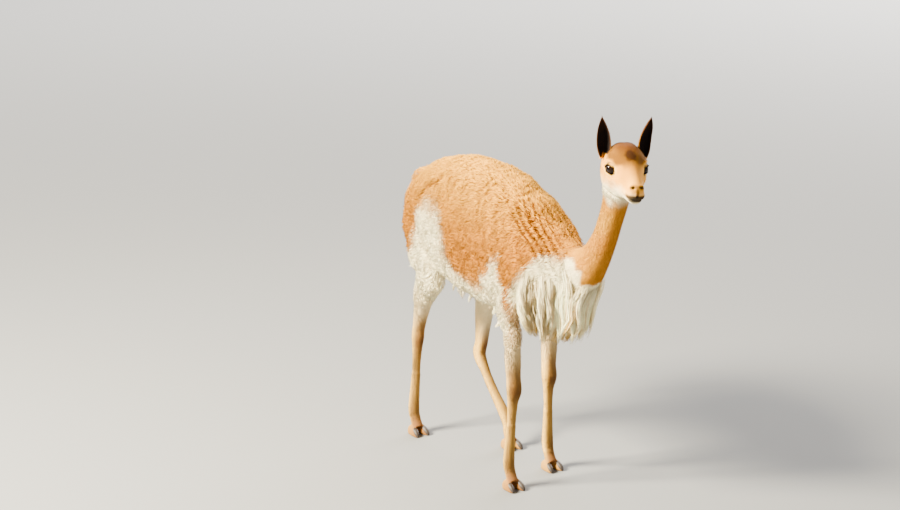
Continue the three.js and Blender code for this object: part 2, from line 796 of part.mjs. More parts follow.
function add(name, made, finish) {
  const mesh = new THREE.Mesh(geometryOf(made), finish);
  mesh.name = name;
  vicuna.add(mesh);
  return mesh;
}

function buildBody() {
  const trunk = solid(trunkSurface(CLUMP_RISE));
  const neck = solid(limb(NECK, 16, 14));
  const tail = join([tailCore(), ...tailWool()]);
  const head = headSolid().transform(headPlace().toArray());
  const forelegs = Object.fromEntries(
    Object.entries(FORELEGS).map(([name, leg]) => [name, solid(forelegSurface(leg, CLUMP_RISE))]),
  );
  const hindlegs = Object.fromEntries(
    Object.entries(HINDLEGS).map(([name, leg]) => [name, solid(hindlegSurface(leg, CLUMP_RISE))]),
  );
  const neckHigh = [NECK_CUT_HIGH.at, NECK_CUT_HIGH.along];
  const neckLow = [NECK_CUT_LOW.at, NECK_CUT_LOW.along];
  const hindNormal = [
    HIND_CUT_FRONT[1] - HIND_CUT_BACK[1], 0, HIND_CUT_BACK[0] - HIND_CUT_FRONT[0],
  ];
  const hindCut = [[HIND_CUT_FRONT[0], 0, HIND_CUT_FRONT[1]], hindNormal];
  const shoulder = (leg) => beyond(leg, [0, 0, FORELEG_CUT_Z], [0, 0, 1]);
  const haunch = (leg) => before(leg, ...hindCut);

  const core = join([
    trunk,
    before(neck, ...neckLow),
    ...Object.values(forelegs).map(shoulder),
    ...Object.values(hindlegs).map(haunch),
    before(tail, TAIL_CUT.at, TAIL_CUT.along),
    bibCore(),
  ]);
  const probe = prober(core);
  const body = join([core, ...fleece(probe), ...bib(probe), ...bellyFringe(probe)]);
  const ahead = [1, 0, 0];
  add("chest", before(beyond(body, [CHEST_CUT_X, 0, 0], ahead), ...neckLow), CREAM);
  add("barrel", beyond(before(body, [CHEST_CUT_X, 0, 0], ahead), [RUMP_CUT_X, 0, 0], ahead), FAWN);
  const tailRoom = beyond(solid(limb(TAIL, 12, 9, TAIL_ROOM)), TAIL_CUT.at, TAIL_CUT.along);
  const behind = before(before(body, [RUMP_CUT_X, 0, 0], ahead), ...hindCut);
  add("rump", behind.subtract(tailRoom), FAWN);
  add("neck", before(beyond(neck, ...neckLow), ...neckHigh), FAWN);
  add("tail", beyond(tail, TAIL_CUT.at, TAIL_CUT.along), FAWN);

  const cap = beyond(neck, ...neckHigh);
  add("head", join([head, cap]).subtract(before(neck, ...neckHigh)), FAWN);
  const overForeleg = [[0, 0, FORELEG_CUT_Z], [0, 0, -1]];
  for (const [name, leg] of Object.entries(forelegs)) {
    addLeg("fore_" + name, beyond(leg, ...overForeleg), FORELEGS[name].knee, FORELEGS[name]);
  }
  for (const [name, leg] of Object.entries(hindlegs)) {
    addLeg("hind_" + name, beyond(leg, ...hindCut), HINDLEGS[name].hock, HINDLEGS[name]);
  }
}

// A leg below the coat: its upper part, cannon, foot and the nails of its two toes
function addLeg(name, leg, joint, { side, foot }) {
  const down = [0, 0, -1];
  const kneeCut = [[0, 0, joint[2]], down];
  const footCut = [[0, 0, FETLOCK_Z - 4], down];
  add(name + "_upper", before(leg, ...kneeCut), FAWN);
  add(name + "_cannon", before(beyond(leg, ...kneeCut), ...footCut), FAWN);
  const toes = TOE_NAMES.map((toe, i) => {
    const outward = i === 0 ? -side : side;
    const surface = toeSurface(foot[0], foot[1] * side + outward * TOE_SPREAD, outward);
    return solid(surface);
  });
  const nailCut = [
    [foot[0] + TOE_LENGTH - NAIL_LENGTH, 0, TOE_HEIGHT * 0.8],
    [TOE_HEIGHT * 0.78, 0, NAIL_LENGTH * 0.8],
  ];
  const pads = toes.map((toe) => before(toe, ...nailCut));
  add(name + "_foot", join([beyond(leg, ...footCut), ...pads]), FAWN);
  toes.forEach((toe, i) => add(name + "_nail_" + TOE_NAMES[i], beyond(toe, ...nailCut), HORN));
}

function buildFace() {
  const place = headPlace();
  for (const [name, side] of [["right", RIGHT], ["left", LEFT]]) {
    add("eye_" + name, solid(eyeBall(side).applyMatrix4(place)), EYE_BLACK);
    const skull = solid(offset(headSurface(), GAP));
    const ear = solid(earSurface(side)).subtract(skull);
    add("ear_" + name, ear.transform(place.toArray()), DARK);
  }
}

buildBody();
buildFace();

// The origin goes to the middle of the footprint, on the floor
const box = new THREE.Box3().setFromObject(vicuna);
const middle = box.getCenter(new THREE.Vector3());
vicuna.position.set(-middle.x, -middle.y, -box.min.z);

export default vicuna;
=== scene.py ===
# A vicuna standing still with its head up, life size.
# Shapes are worked out in millimetres in the animal's own frame: x to its front, y to its
# left, z up, with the floor at z = 0. They are then placed in the frame's metres.
import math

import bpy
import numpy as np
from mathutils import Matrix, Vector


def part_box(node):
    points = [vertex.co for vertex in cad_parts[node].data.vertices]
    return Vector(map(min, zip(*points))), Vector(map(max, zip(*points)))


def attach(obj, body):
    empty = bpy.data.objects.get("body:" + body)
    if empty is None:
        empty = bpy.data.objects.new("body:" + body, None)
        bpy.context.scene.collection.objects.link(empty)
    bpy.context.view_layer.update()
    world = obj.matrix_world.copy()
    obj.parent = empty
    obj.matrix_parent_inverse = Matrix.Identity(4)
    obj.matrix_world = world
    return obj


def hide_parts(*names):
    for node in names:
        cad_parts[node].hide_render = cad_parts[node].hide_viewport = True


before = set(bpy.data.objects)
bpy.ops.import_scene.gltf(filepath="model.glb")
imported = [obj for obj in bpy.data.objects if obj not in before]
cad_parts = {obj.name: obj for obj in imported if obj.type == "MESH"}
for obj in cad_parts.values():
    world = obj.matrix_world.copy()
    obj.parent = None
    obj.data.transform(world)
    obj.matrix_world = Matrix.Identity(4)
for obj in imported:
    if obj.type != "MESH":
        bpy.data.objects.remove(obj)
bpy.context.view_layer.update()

MM = 0.001
RIGHT = -1
LEFT = 1
SIDES = {"right": RIGHT, "left": LEFT}

# Trunk outline at the outside of the coat, and how deep the skin lies in it
BACK_LINE = [
    (352, 640), (334, 706), (292, 770), (236, 822), (160, 861), (60, 893), (-50, 906),
    (-160, 898), (-256, 871), (-328, 826), (-376, 770), (-396, 696),
]
BELLY_LINE = [
    (352, 640), (344, 590), (314, 542), (256, 508), (170, 489), (60, 480), (-50, 488),
    (-140, 506), (-216, 540), (-288, 586), (-352, 640), (-396, 696),
]
TRUNK_HALF_WIDTH = [4, 82, 116, 138, 152, 160, 161, 155, 142, 118, 82, 4]
FLEECE_DEPTH = 20
NECK_COAT = 5
LEG_COAT = 3
HEAD_COAT = 2

# Neck: centre, half depth and half width at each station
NECK = [
    (270, 0, 664, 118, 100), (350, 6, 664, 96, 82), (420, 16, 684, 70, 60),
    (468, 24, 730, 51, 45), (504, 30, 792, 42, 38), (530, 33, 856, 41, 36),
    (550, 34, 912, 43, 38), (558, 34, 958, 47, 42), (564, 33, 1000, 44, 41),
]
# Planes across the foot and the top of the neck, each a place and the way beyond it
NECK_ROOT = ((414, 16, 682), (0.9, 0.12, 0.42))
NECK_TOP = ((560, 34, 938), (0.2, 0, 0.98))

# Legs: centre, half length fore and aft, and half width at each station
FORELEG_TOP = [(268, 84, 668, 62, 44), (236, 96, 590, 56, 42), (214, 97, 520, 47, 34)]
FOREARM = [
    (0, 4, 175, 36, 30), (0, 2, 95, 31, 27), (1, 0, 38, 26, 23.5), (4, 0, 0, 26.5, 24.5),
    (-2, 1, -42, 19, 18.5),
]
HIND_TOP = [(-262, 74, 760, 88, 48), (-254, 86, 690, 102, 52), (-236, 94, 610, 88, 50)]
# The plane below which a hind leg begins, a place on it and the way beyond it
HIND_PLANE = ((-150, 0, 492), (-148, 0, -250))
CANNON_HALF = (16.5, 16)
FETLOCK_HALF = (20, 19)
FETLOCK_Z = 82
FORELEGS = {
    "right": {"side": RIGHT, "knee": (221, 83, 292), "foot": (224, 100)},
    "left": {"side": LEFT, "knee": (180, 66, 296), "foot": (150, 84)},
}
HINDLEGS = {
    "right": {
        "side": RIGHT, "stifle": (-200, 96, 545), "hock": (-322, 70, 300), "foot": (-322, 86),
    },
    "left": {
        "side": LEFT, "stifle": (-166, 98, 535), "hock": (-196, 70, 258), "foot": (-66, 84),
    },
}

# Feet: two padded toes, each with a nail
TOE_LENGTH = 54
TOE_HALF_WIDTH = 11.5
TOE_SPREAD = 13.5
TOE_HEIGHT = 27
NAIL_LENGTH = 20
TOES = {"inner": -1, "outer": 1}
LEG_PARTS = ("upper", "cannon", "foot")

# Bib: centre, height, half depth and half width at each station of its outer shape
BIB = [
    (300, 690, 54, 98), (310, 626, 68, 122), (312, 560, 70, 120), (308, 500, 60, 104),
    (304, 462, 38, 78), (302, 440, 20, 52),
]
BIB_CORE_SHARE = 0.74
BIB_CORE_END = 496
BIB_ROOT_X = 250

# Tail: centre, half thickness and half width
TAIL = [
    (-336, 0, 790, 20, 26), (-388, 0, 772, 19, 28), (-422, 0, 728, 18, 33),
    (-434, 0, 668, 17, 35), (-432, 0, 608, 13, 29), (-428, 0, 562, 5, 9),
]
TAIL_CORE_SHARE = 0.55

# Head in its own frame: x to the nose, z up, between the jaw joints
HEAD_AT = (582, 36, 1008)
HEAD_TURN = -20
HEAD_DROP = 8
HEAD_TILT = -4
CROWN_LINE = [
    (-66, 4), (-56, 42), (-28, 68), (6, 76), (36, 68), (60, 52), (90, 36), (120, 24),
    (142, 11), (152, -10),
]
JAW_LINE = [
    (-66, 4), (-64, -36), (-44, -66), (-8, -76), (28, -70), (62, -60), (94, -53),
    (122, -50), (143, -42), (152, -12),
]
HEAD_HALF_WIDTH = [5, 41, 56, 62, 58, 43, 32, 27, 21, 3]
EYE_RADIUS = 17
EYE_AT = (31, 42, 16)
EYE_FACING = (0.5, 0.86, 0.08)
EYE_OPENING = (14.0, 9.8)
# The lids lie on this ball, and past this reach all their rows but the first leave it
LID_BALL = EYE_RADIUS + 0.4
LID_REACH = 15.8
LID_POINTS = 64
# Rows of a lid from the ball of the eye over its rim and back onto the face: how far out from
# the opening, and how far ahead of the ball
LID_ROWS = [
    (-0.4, 0.0), (0.6, 1.5), (2.0, 2.2), (3.6, 1.6), (5.4, -0.6), (7.6, -5.5), (7.6, -9),
    (-0.4, -9),
]
MOUTH_CORNER = (100, -23)
MOUTH_FRONT = (160, -28)
NOSTRIL_AT = (141, 10, 4)
NOSTRIL_WAY = (0.72, 0.34, 0.62)
# Soft swellings and hollows on each side of the head: place, reach and height
HEAD_FORMS = {
    "brow": ((33, 49, 36), (20, 12, 8), 5),
    "tear_hollow": ((57, 38, 8), (16, 10, 9), -3),
    "cheekbone": ((50, 46, -12), (22, 12, 9), 3),
    "jaw_muscle": ((8, 55, -40), (26, 12, 18), 3),
    "muzzle_hollow": ((92, 30, 2), (18, 9, 12), -2.5),
    "nostril_wing": ((136, 14, 5), (9, 7, 7), 3.2),
    "lip_pad": ((130, 21, -18), (16, 8, 6), 2.5),
    "crown": ((-20, 20, 71), (20, 18, 14), 3),
}
EAR_AT = (-14, 56, 46)
EAR_LENGTH = 116
EAR_HALF_WIDTH = 20
EAR_WALL = 3
EAR_SPLAY = 8
EAR_LEAN_BACK = 8
EAR_OPEN_SIDE = 20
EAR_SUNK = 18
EAR_STEPS = 46
EAR_ARC = 22

# How the photograph was taken
CAMERA_DISTANCE = 8.6
CAMERA_ELEVATION = 17.0
CAMERA_ROUND = 57.0
CAMERA_TARGET_Z = 0.55
SENSOR_WIDTH = 36
PICTURE = (900, 510)
FOCAL_PIXELS = 2952
TARGET_PIXEL = (495.6, 280.4)

# Each tuft's own patch of the map OFBake
BAKE_PATCH = 0.003


def colour(red, green, blue):
    """A colour given from 0 to 255, as on a paint card, in the renderer's own scale."""
    value = np.array([red, green, blue], float) / 255
    return np.where(value <= 0.04045, value / 12.92, ((value + 0.055) / 1.055) ** 2.4)


GOLD_FAWN = colour(207, 147, 32)
FAWN = colour(193, 125, 25)
RUST = colour(146, 80, 10)
BROWN = colour(94, 54, 22)
LEG_BROWN = colour(88, 54, 28)
DARK = colour(26, 17, 14)
CREAM = colour(240, 188, 88)
WHITE = colour(255, 240, 198)
FACE = colour(230, 158, 46)


def unit(v):
    v = np.asarray(v, float)
    return v / np.maximum(np.linalg.norm(v, axis=-1, keepdims=True), 1e-9)


def ramp(value, low, high):
    """0 at low, 1 at high, with a soft start and end."""
    t = np.clip((np.asarray(value, float) - low) / (high - low), 0, 1)
    return t * t * (3 - 2 * t)


def blend(a, b, share):
    """The first colour or way, and the second where the share is 1."""
    share = np.asarray(share)[..., None]
    return a * (1 - share) + b * share


def curve(points, shares):
    """A smooth curve through all the points, read at shares from 0 to 1."""
    p = np.array(points, float)
    p = np.vstack([2 * p[0] - p[1], p, 2 * p[-1] - p[-2]])
    spans = len(points) - 1
    place = np.clip(np.atleast_1d(shares), 0, 1) * spans
    i = np.minimum(place.astype(int), spans - 1)
    t = (place - i)[:, None]
    a, b, c, d = p[i], p[i + 1], p[i + 2], p[i + 3]
    start, end = (c - a) / 2, (d - b) / 2
    return (
        b + start * t + (3 * (c - b) - 2 * start - end) * t**2
        + (2 * (b - c) + start + end) * t**3
    )


def waves(points, size, seed):
    """Smooth, random-looking hills and hollows from about -1 to 1, of about that size."""
    draw = np.random.default_rng(seed)
    total = np.zeros(len(points))
    for _ in range(9):
        way = unit(draw.normal(size=3)) * 2 * math.pi / (size * draw.uniform(0.7, 1.5))
        total += np.sin(points @ way + draw.uniform(0, 2 * math.pi))
    return total / 3.2


def drift(points, size, seeds):
    """A smooth, random-looking way at each point, of about that size."""
    return np.stack([waves(points, size, seed) for seed in seeds], 1)


def rotation(degrees, axis):
    return np.array(Matrix.Rotation(math.radians(degrees), 3, axis))


HEAD_WAY = rotation(HEAD_TURN, "Z") @ rotation(HEAD_DROP, "Y") @ rotation(HEAD_TILT, "X")


def from_head(points):
    return np.asarray(points, float) @ HEAD_WAY.T + np.array(HEAD_AT, float)


def to_head(points):
    return (points - np.array(HEAD_AT, float)) @ HEAD_WAY


def mirrored(at, side):
    """A place or way on the head, given for its left, on either side."""
    return np.array([at[0], at[1] * side, at[2]], float)


def eye_centre(side):
    return from_head([mirrored(EYE_AT, side)])[0]


def eye_axes(side):
    """An eye's centre in the head's frame, and the ways that are ahead, level and upright."""
    facing = unit(mirrored(EYE_FACING, side))
    level = unit(np.cross([0, 0, 1.0], facing)) * side
    upright = unit(np.cross(facing, level))
    return mirrored(EYE_AT, side), facing, level, upright * np.sign(upright[2])


def ear_way(side):
    """How an ear is turned on the head."""
    return (
        rotation(-EAR_LEAN_BACK, "Y") @ rotation(-EAR_SPLAY * side, "X")
        @ rotation(EAR_OPEN_SIDE * side, "Z")
    )


def ear_radius(share):
    """Half the width of the rolled ear at each share of its length."""
    leaf = np.sin(math.pi * (0.12 + 0.88 * share) ** 0.85).clip(0) ** 0.8
    return np.maximum(1.2, EAR_HALF_WIDTH * leaf)


def ear_opening(share):
    """Half the angle that the rolled ear leaves open at each share of its length."""
    return np.radians(62 + 38 * np.sin(math.pi * share))


def frame_shift():
    """Where the animal's own origin lies in the frame, found from its two eyes."""
    found = []
    for name, side in SIDES.items():
        low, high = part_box("eye_" + name)
        found.append(np.array((low + high) / 2) - eye_centre(side) * MM)
    return np.mean(found, axis=0)


SHIFT = frame_shift()


def placed(points):
    return np.asarray(points, float) * MM + SHIFT


def unplaced(points):
    return (np.asarray(points, float) - SHIFT) / MM


def rings_round(centre, first, second, sides, power=2.1):
    """Rings of points: one row for each centre, in the plane of its two half axes."""
    angle = 2 * math.pi * (np.arange(sides) + 0.5) / sides
    across = np.sign(np.cos(angle)) * np.abs(np.cos(angle)) ** (2 / power)
    up = np.sign(np.sin(angle)) * np.abs(np.sin(angle)) ** (2 / power)
    return (
        centre[:, None] + first[:, None] * across[None, :, None]
        + second[:, None] * up[None, :, None]
    )


def profile_rings(upper, lower, half_width, inset, steps, sides, power):
    """Rings between an upper and a lower outline, as of a trunk or a head."""
    end = 0.004
    shares = end + (1 - 2 * end) * np.arange(steps + 1) / steps
    top = curve([(x, 0, z) for x, z in upper], shares)
    low = curve([(x, 0, z) for x, z in lower], shares)
    width = curve([(w, 0, 0) for w in half_width], shares)[:, 0]
    up = (top - low) / 2
    length = np.maximum(np.linalg.norm(up, axis=1) - inset, 1.5)
    across = np.zeros_like(up)
    across[:, 1] = np.maximum(width - inset, 1.5)
    return rings_round((top + low) / 2, across, unit(up) * length[:, None], sides, power)


def middle_line(stations, shares):
    return curve([s[:3] for s in stations], shares)


def limb_rings(stations, sides, steps):
    """Rings along stations of (x, y, z, half depth, half width)."""
    shares = np.arange(steps + 1) / steps
    centre = middle_line(stations, shares)
    size = curve([(s[3], s[4], 0) for s in stations], shares)
    along = unit(middle_line(stations, shares + 0.01) - middle_line(stations, shares - 0.01))
    depth = unit(np.cross([0, 1, 0], along))
    width = np.cross(along, depth)
    return rings_round(centre, depth * size[:, :1], width * size[:, 1:2], sides)


def mesh_object(name, points, faces):
    """A mesh of faces of one size, from points in the frame's metres."""
    faces = np.asarray(faces)
    mesh = bpy.data.meshes.new(name)
    mesh.vertices.add(len(points))
    mesh.vertices.foreach_set("co", np.asarray(points, np.float32).ravel())
    mesh.loops.add(faces.size)
    mesh.loops.foreach_set("vertex_index", faces.astype(np.int32).ravel())
    mesh.polygons.add(len(faces))
    starts = np.arange(len(faces), dtype=np.int32) * faces.shape[1]
    mesh.polygons.foreach_set("loop_start", starts)
    mesh.polygons.foreach_set("use_smooth", np.ones(len(faces), bool))
    mesh.update(calc_edges=True)
    made = bpy.data.objects.new(name, mesh)
    bpy.context.scene.collection.objects.link(made)
    return made


def shell(name, rings):
    """A closed surface through rings, with its two ends filled to their middles."""
    count, sides = rings.shape[:2]
    points = np.vstack([rings.reshape(-1, 3), rings[0].mean(0), rings[-1].mean(0)])
    r, k = np.meshgrid(np.arange(count - 1), np.arange(sides), indexing="ij")
    a = (r * sides + k).ravel()
    b = (r * sides + (k + 1) % sides).ravel()
    faces = [np.stack([a, b, b + sides], 1), np.stack([a, b + sides, a + sides], 1)]
    k = np.arange(sides)
    nearer = (k + 1) % sides
    last = (count - 1) * sides
    faces.append(np.stack([nearer, k, np.full(sides, count * sides)], 1))
    faces.append(np.stack([last + k, last + nearer, np.full(sides, count * sides + 1)], 1))
    faces = np.vstack(faces)
    corners = points[faces]
    volume = np.einsum("ij,ij->i", corners[:, 0], np.cross(corners[:, 1], corners[:, 2])).sum()
    if volume < 0:
        faces = faces[:, ::-1]
    return mesh_object(name, placed(points), faces)


def pick_nothing():
    bpy.ops.object.select_all(action="DESELECT")


def pick(*objects):
    """Only these objects selected, the first of them active."""
    pick_nothing()
    for o in objects:
        o.select_set(True)
    bpy.context.view_layer.objects.active = objects[0]


def pick_all_faces(piece):
    """The piece alone in edit mode, with all of it selected."""
    pick(piece)
    bpy.ops.object.mode_set(mode="EDIT")
    bpy.ops.mesh.select_all(action="SELECT")


def finish_with(piece, kind, **settings):
    """Adds a modifier with its settings and applies it."""
    pick(piece)
    modifier = piece.modifiers.new(kind.title(), kind)
    for name, value in settings.items():
        setattr(modifier, name, value)
    bpy.ops.object.modifier_apply(modifier=modifier.name)


def joined(name, objects):
    pick(*objects)
    bpy.ops.object.join()
    objects[0].name = name
    objects[0].data.name = name
    return objects[0]


def fused(name, objects, voxel, smoothing):
    """Several closed shells melted into one skin."""
    skin = joined(name, objects)
    finish_with(skin, "REMESH", mode="VOXEL", voxel_size=voxel * MM, use_smooth_shade=True)
    finish_with(skin, "SMOOTH", factor=0.5, iterations=smoothing)
    return skin


def united(whole, piece):
    """Another closed skin joined to the first by a union."""
    finish_with(whole, "BOOLEAN", operation="UNION", object=piece, solver="MANIFOLD")
    bpy.data.objects.remove(piece)


def read_points(piece, what):
    values = np.zeros(len(piece.data.vertices) * 3, np.float32)
    piece.data.vertices.foreach_get(what, values)
    return values.reshape(-1, 3)


def points_of(piece):
    return unplaced(read_points(piece, "co"))


def normals_of(piece):
    return unit(read_points(piece, "normal"))


def set_points(piece, points):
    piece.data.vertices.foreach_set("co", placed(points).astype(np.float32).ravel())
    piece.data.update()


# The skin


def coat_depth_on_leg(z):
    """Wool on the upper leg, thinning down to the short hair of the cannon."""
    return LEG_COAT + (FLEECE_DEPTH - LEG_COAT) * ramp(z, 330, 590)


def drawn_in(stations):
    """Stations of a leg moved in from the coat's outside to the skin."""
    return [
        (x, y, z, depth - coat_depth_on_leg(z), width - coat_depth_on_leg(z))
        for x, y, z, depth, width in stations
    ]


def on_side(stations, side):
    return [(x, y * side, *rest) for x, y, *rest in stations]


def below_joint(joint, foot):
    """Cannon, fetlock and pastern, below a knee or a hock."""
    x, y = foot
    return [
        ((joint[0] + x) / 2, (joint[1] + y) / 2, (joint[2] + FETLOCK_Z) / 2 - 10, *CANNON_HALF),
        (x, y, FETLOCK_Z, *FETLOCK_HALF),
        (x + 8, y, FETLOCK_Z - 34, 17, 19),
        (x + 22, y, FETLOCK_Z - 60, 16, 20),
    ]


def foreleg_stations(leg):
    knee, foot = leg["knee"], leg["foot"]
    arm = [(knee[0] + x, knee[1] + y, knee[2] + z, *half) for x, y, z, *half in FOREARM]
    return on_side([*FORELEG_TOP, *arm, *below_joint(knee, foot)], leg["side"])


def hindleg_stations(leg):
    stifle, hock, foot = leg["stifle"], leg["hock"], leg["foot"]
    shank = (
        (stifle[0] + hock[0]) / 2 - 6, (stifle[1] + hock[1]) / 2,
        (stifle[2] + hock[2]) / 2 + 16, 44, 31,
    )
    above = (hock[0] + 10, hock[1] + 1, hock[2] + 44, 27, 20)
    below = (
        hock[0] * 0.78 + foot[0] * 0.22, hock[1] * 0.78 + foot[1] * 0.22, hock[2] - 48, 19, 17,
    )
    stations = [*HIND_TOP, (*stifle, 64, 42), shank, above, (*hock, 28, 19), below]
    return on_side([*stations, *below_joint(hock, foot)], leg["side"])


def toe_rings(foot, side, outward, grow, steps=22, sides=28):
    """One padded toe, flat below, from under the pastern to the tip of its nail."""
    share = np.arange(steps + 1) / steps
    share = share - 0.06 * np.sin(2 * math.pi * share) / 2
    x = foot[0] - 8 + (TOE_LENGTH + 8) * share
    heel = np.sqrt(np.clip(1 - ((0.3 - share) / 0.3).clip(0) ** 2, 0.04, 1))
    height = TOE_HEIGHT * np.sqrt(np.maximum(0.02, 1 - share**2.6)) * heel + 3 + grow
    plump = np.sqrt(np.maximum(0.03, 1 - (2 * share - 0.84) ** 2 * 0.72))
    width = TOE_HALF_WIDTH * plump * heel**0.5 + grow
    y = foot[1] * side + outward * TOE_SPREAD + outward * share * 5
    nothing = np.zeros_like(x)
    rings = rings_round(
        np.stack([x, y, height * 0.36], 1),
        np.stack([nothing, width, nothing], 1),
        np.stack([nothing, nothing, height * 0.64], 1),
        sides,
        2.4,
    )
    rings[:, :, 2] = np.maximum(rings[:, :, 2], 0)
    return rings


def bib_at(z):
    """Centre, half depth and half width of the bib at each height."""
    heights = [b[1] for b in BIB][::-1]
    return [np.interp(z, heights, [b[k] for b in BIB][::-1]) for k in (0, 2, 3)]


def leg_part(stations, sides, steps, low, high):
    """The rings of a leg from one height to another, tucked in at a cut end."""
    rings = limb_rings(drawn_in(stations), sides, steps)
    z = rings[:, :, 2].mean(1)
    kept = (z > low) & (z < high)
    tuck = 1 - 0.16 * ramp(z, high - 22, high) - 0.16 * ramp(-z, -low - 22, -low)
    middle = rings.mean(1, keepdims=True)
    return (middle + (rings - middle) * tuck[:, None, None])[kept]


def leg_end(leg, stations, name):
    """A finer foot, from above the fetlock to its two toes."""
    pieces = [shell(name, leg_part(stations, sides=32, steps=160, low=-50, high=205))]
    side = leg["side"]
    for toe, outward in TOES.items():
        pieces.append(shell(name + toe, toe_rings(leg["foot"], side, outward * side, grow=-0.6)))
    foot = fused(name, pieces, voxel=2.4, smoothing=4)
    points = points_of(foot)
    points[:, 2] = np.maximum(points[:, 2], 0.25)
    set_points(foot, points)
    return foot


def body_skin():
    """Trunk, neck, legs and tail under the coat, melted into one."""
    neck = [(x, y, z, d - NECK_COAT, w - NECK_COAT) for x, y, z, d, w in NECK]
    core = [1, 1] + [TAIL_CORE_SHARE] * (len(TAIL) - 2)
    tail = [(x, y, z, d * k, w * k) for k, (x, y, z, d, w) in zip(core, TAIL)]
    tail[-1] = (*tail[-1][:2], tail[-1][2] + 30, *tail[-1][3:])
    bib = [
        (x, 0, z, d * BIB_CORE_SHARE, w * BIB_CORE_SHARE) for x, z, d, w in BIB
        if z > BIB_CORE_END
    ]
    trunk = profile_rings(
        BACK_LINE, BELLY_LINE, TRUNK_HALF_WIDTH, FLEECE_DEPTH, steps=60, sides=56, power=2.2
    )
    pieces = [
        shell("trunk", trunk),
        shell("neck_skin", limb_rings(neck, sides=40, steps=50)),
        shell("tail_skin", limb_rings(tail, sides=20, steps=24)),
        shell("bib_skin", limb_rings(bib, sides=32, steps=14)),
    ]
    feet = []
    for kind, legs, stations_of in (
        ("fore", FORELEGS, foreleg_stations), ("hind", HINDLEGS, hindleg_stations),
    ):
        for name, leg in legs.items():
            stations = stations_of(leg)
            upper = leg_part(stations, sides=28, steps=90, low=160, high=900)
            pieces.append(shell(kind + name, upper))
            feet.append(leg_end(leg, stations, f"{kind}_{name}_foot_skin"))
    return fused("skin", pieces, voxel=6, smoothing=6), feet


def socket_pushed(points, side):
    """The face drawn back round an eye, to leave room for the lids."""
    centre, facing = eye_axes(side)[:2]
    away = points - centre
    ahead = away @ facing
    round_it = np.linalg.norm(away - ahead[:, None] * facing, axis=1)
    keep = ramp(round_it, 13.5, 20)
    wanted = np.minimum(ahead, 3 + (ahead - 3) * keep)
    near = (round_it < 20) & (ahead > 0)
    return points + np.where(near, wanted - ahead, 0)[:, None] * facing


def hump(points, normals, at, reach, height):
    """A soft swelling, or a hollow where the height is below 0."""
    away = np.linalg.norm((points - np.array(at, float)) / np.array(reach, float), axis=1)
    return points + normals * (height * np.exp(-(away**2)))[:, None]


def mouth_height(x):
    """Height of the line between the lips, from the mouth's corner to its front."""
    share = np.clip((x - MOUTH_CORNER[0]) / (MOUTH_FRONT[0] - MOUTH_CORNER[0]), 0, 1)
    return MOUTH_CORNER[1] * (1 - share) + MOUTH_FRONT[1] * share - 4.5 * np.sin(math.pi * share)


def head_skin():
    """The head with its brows, sockets, cheeks, nostrils and lips."""
    rings = profile_rings(
        CROWN_LINE, JAW_LINE, HEAD_HALF_WIDTH, HEAD_COAT, steps=150, sides=128, power=2.15
    )
    head = shell("head_skin", from_head(rings.reshape(-1, 3)).reshape(rings.shape))
    points = to_head(points_of(head))
    for side in SIDES.values():
        for at, reach, height in HEAD_FORMS.values():
            normals = normals_of_points(head, points)
            points = hump(points, normals, mirrored(at, side), reach, height)
        points = socket_pushed(points, side)
    points = nostrils_cut(points, normals_of_points(head, points))
    points = lips_parted(points, normals_of_points(head, points))
    set_points(head, from_head(points))
    return head


def normals_of_points(head, points):
    """Normals in the head's own frame, of the head with its points moved there."""
    set_points(head, from_head(points))
    return normals_of(head) @ HEAD_WAY


def nostrils_cut(points, normals):
    """Two comma-shaped slits, drawn in between raised rims."""
    for side in SIDES.values():
        away = points - mirrored(NOSTRIL_AT, side)
        long_way = unit(mirrored(NOSTRIL_WAY, side))
        along = away @ long_way
        bent = away - along[:, None] * long_way
        across = np.linalg.norm(bent, axis=1)
        inside = np.exp(-((along / 7.5) ** 4)) * np.exp(-((across / 3.6) ** 2))
        points = points - normals * (6.5 * inside)[:, None]
    return points


def lips_parted(points, normals):
    """The line of the mouth, the split of the upper lip and a chin set a little back."""
    x, y, z = points.T
    off = z - mouth_height(x)
    in_mouth = ramp(x, MOUTH_CORNER[0] - 2, MOUTH_CORNER[0] + 8)
    points = points - normals * (4.2 * in_mouth * np.exp(-((off / 1.7) ** 2)))[:, None]
    upper = in_mouth * np.exp(-(((off - 7) / 5) ** 2))
    lower = in_mouth * np.exp(-(((off + 7) / 5) ** 2))
    points = points + normals * (1.6 * upper - 0.4 * lower)[:, None]
    split = np.exp(-((y / 1.8) ** 2)) * ramp(x, 138, 146) * ramp(off, 0, 3)
    return points - normals * (3.0 * split * (1 - ramp(off, 16, 22)))[:, None]


def ear_rings(side):
    """A leaf rolled about its long axis, with an outer and an inner wall."""
    rings = []
    for share in np.arange(EAR_STEPS + 1) / EAR_STEPS:
        radius = ear_radius(share)
        inner = max(radius - EAR_WALL * (1 - 0.5 * share), radius * 0.35)
        turn = np.linspace(-1, 1, EAR_ARC + 1) * (math.pi - ear_opening(share))
        both = np.vstack([
            np.stack([wall * np.cos(math.pi + way), wall * np.sin(math.pi + way)], 1)
            for wall, way in ((radius, turn), (inner, turn[::-1] * 0.97))
        ])
        height = np.full(len(both), EAR_LENGTH * share - EAR_SUNK)
        rings.append(np.column_stack([both, height]))
    leaf = np.array(rings)
    on_head = leaf @ ear_way(side).T + mirrored(EAR_AT, side)
    return from_head(on_head.reshape(-1, 3)).reshape(leaf.shape)


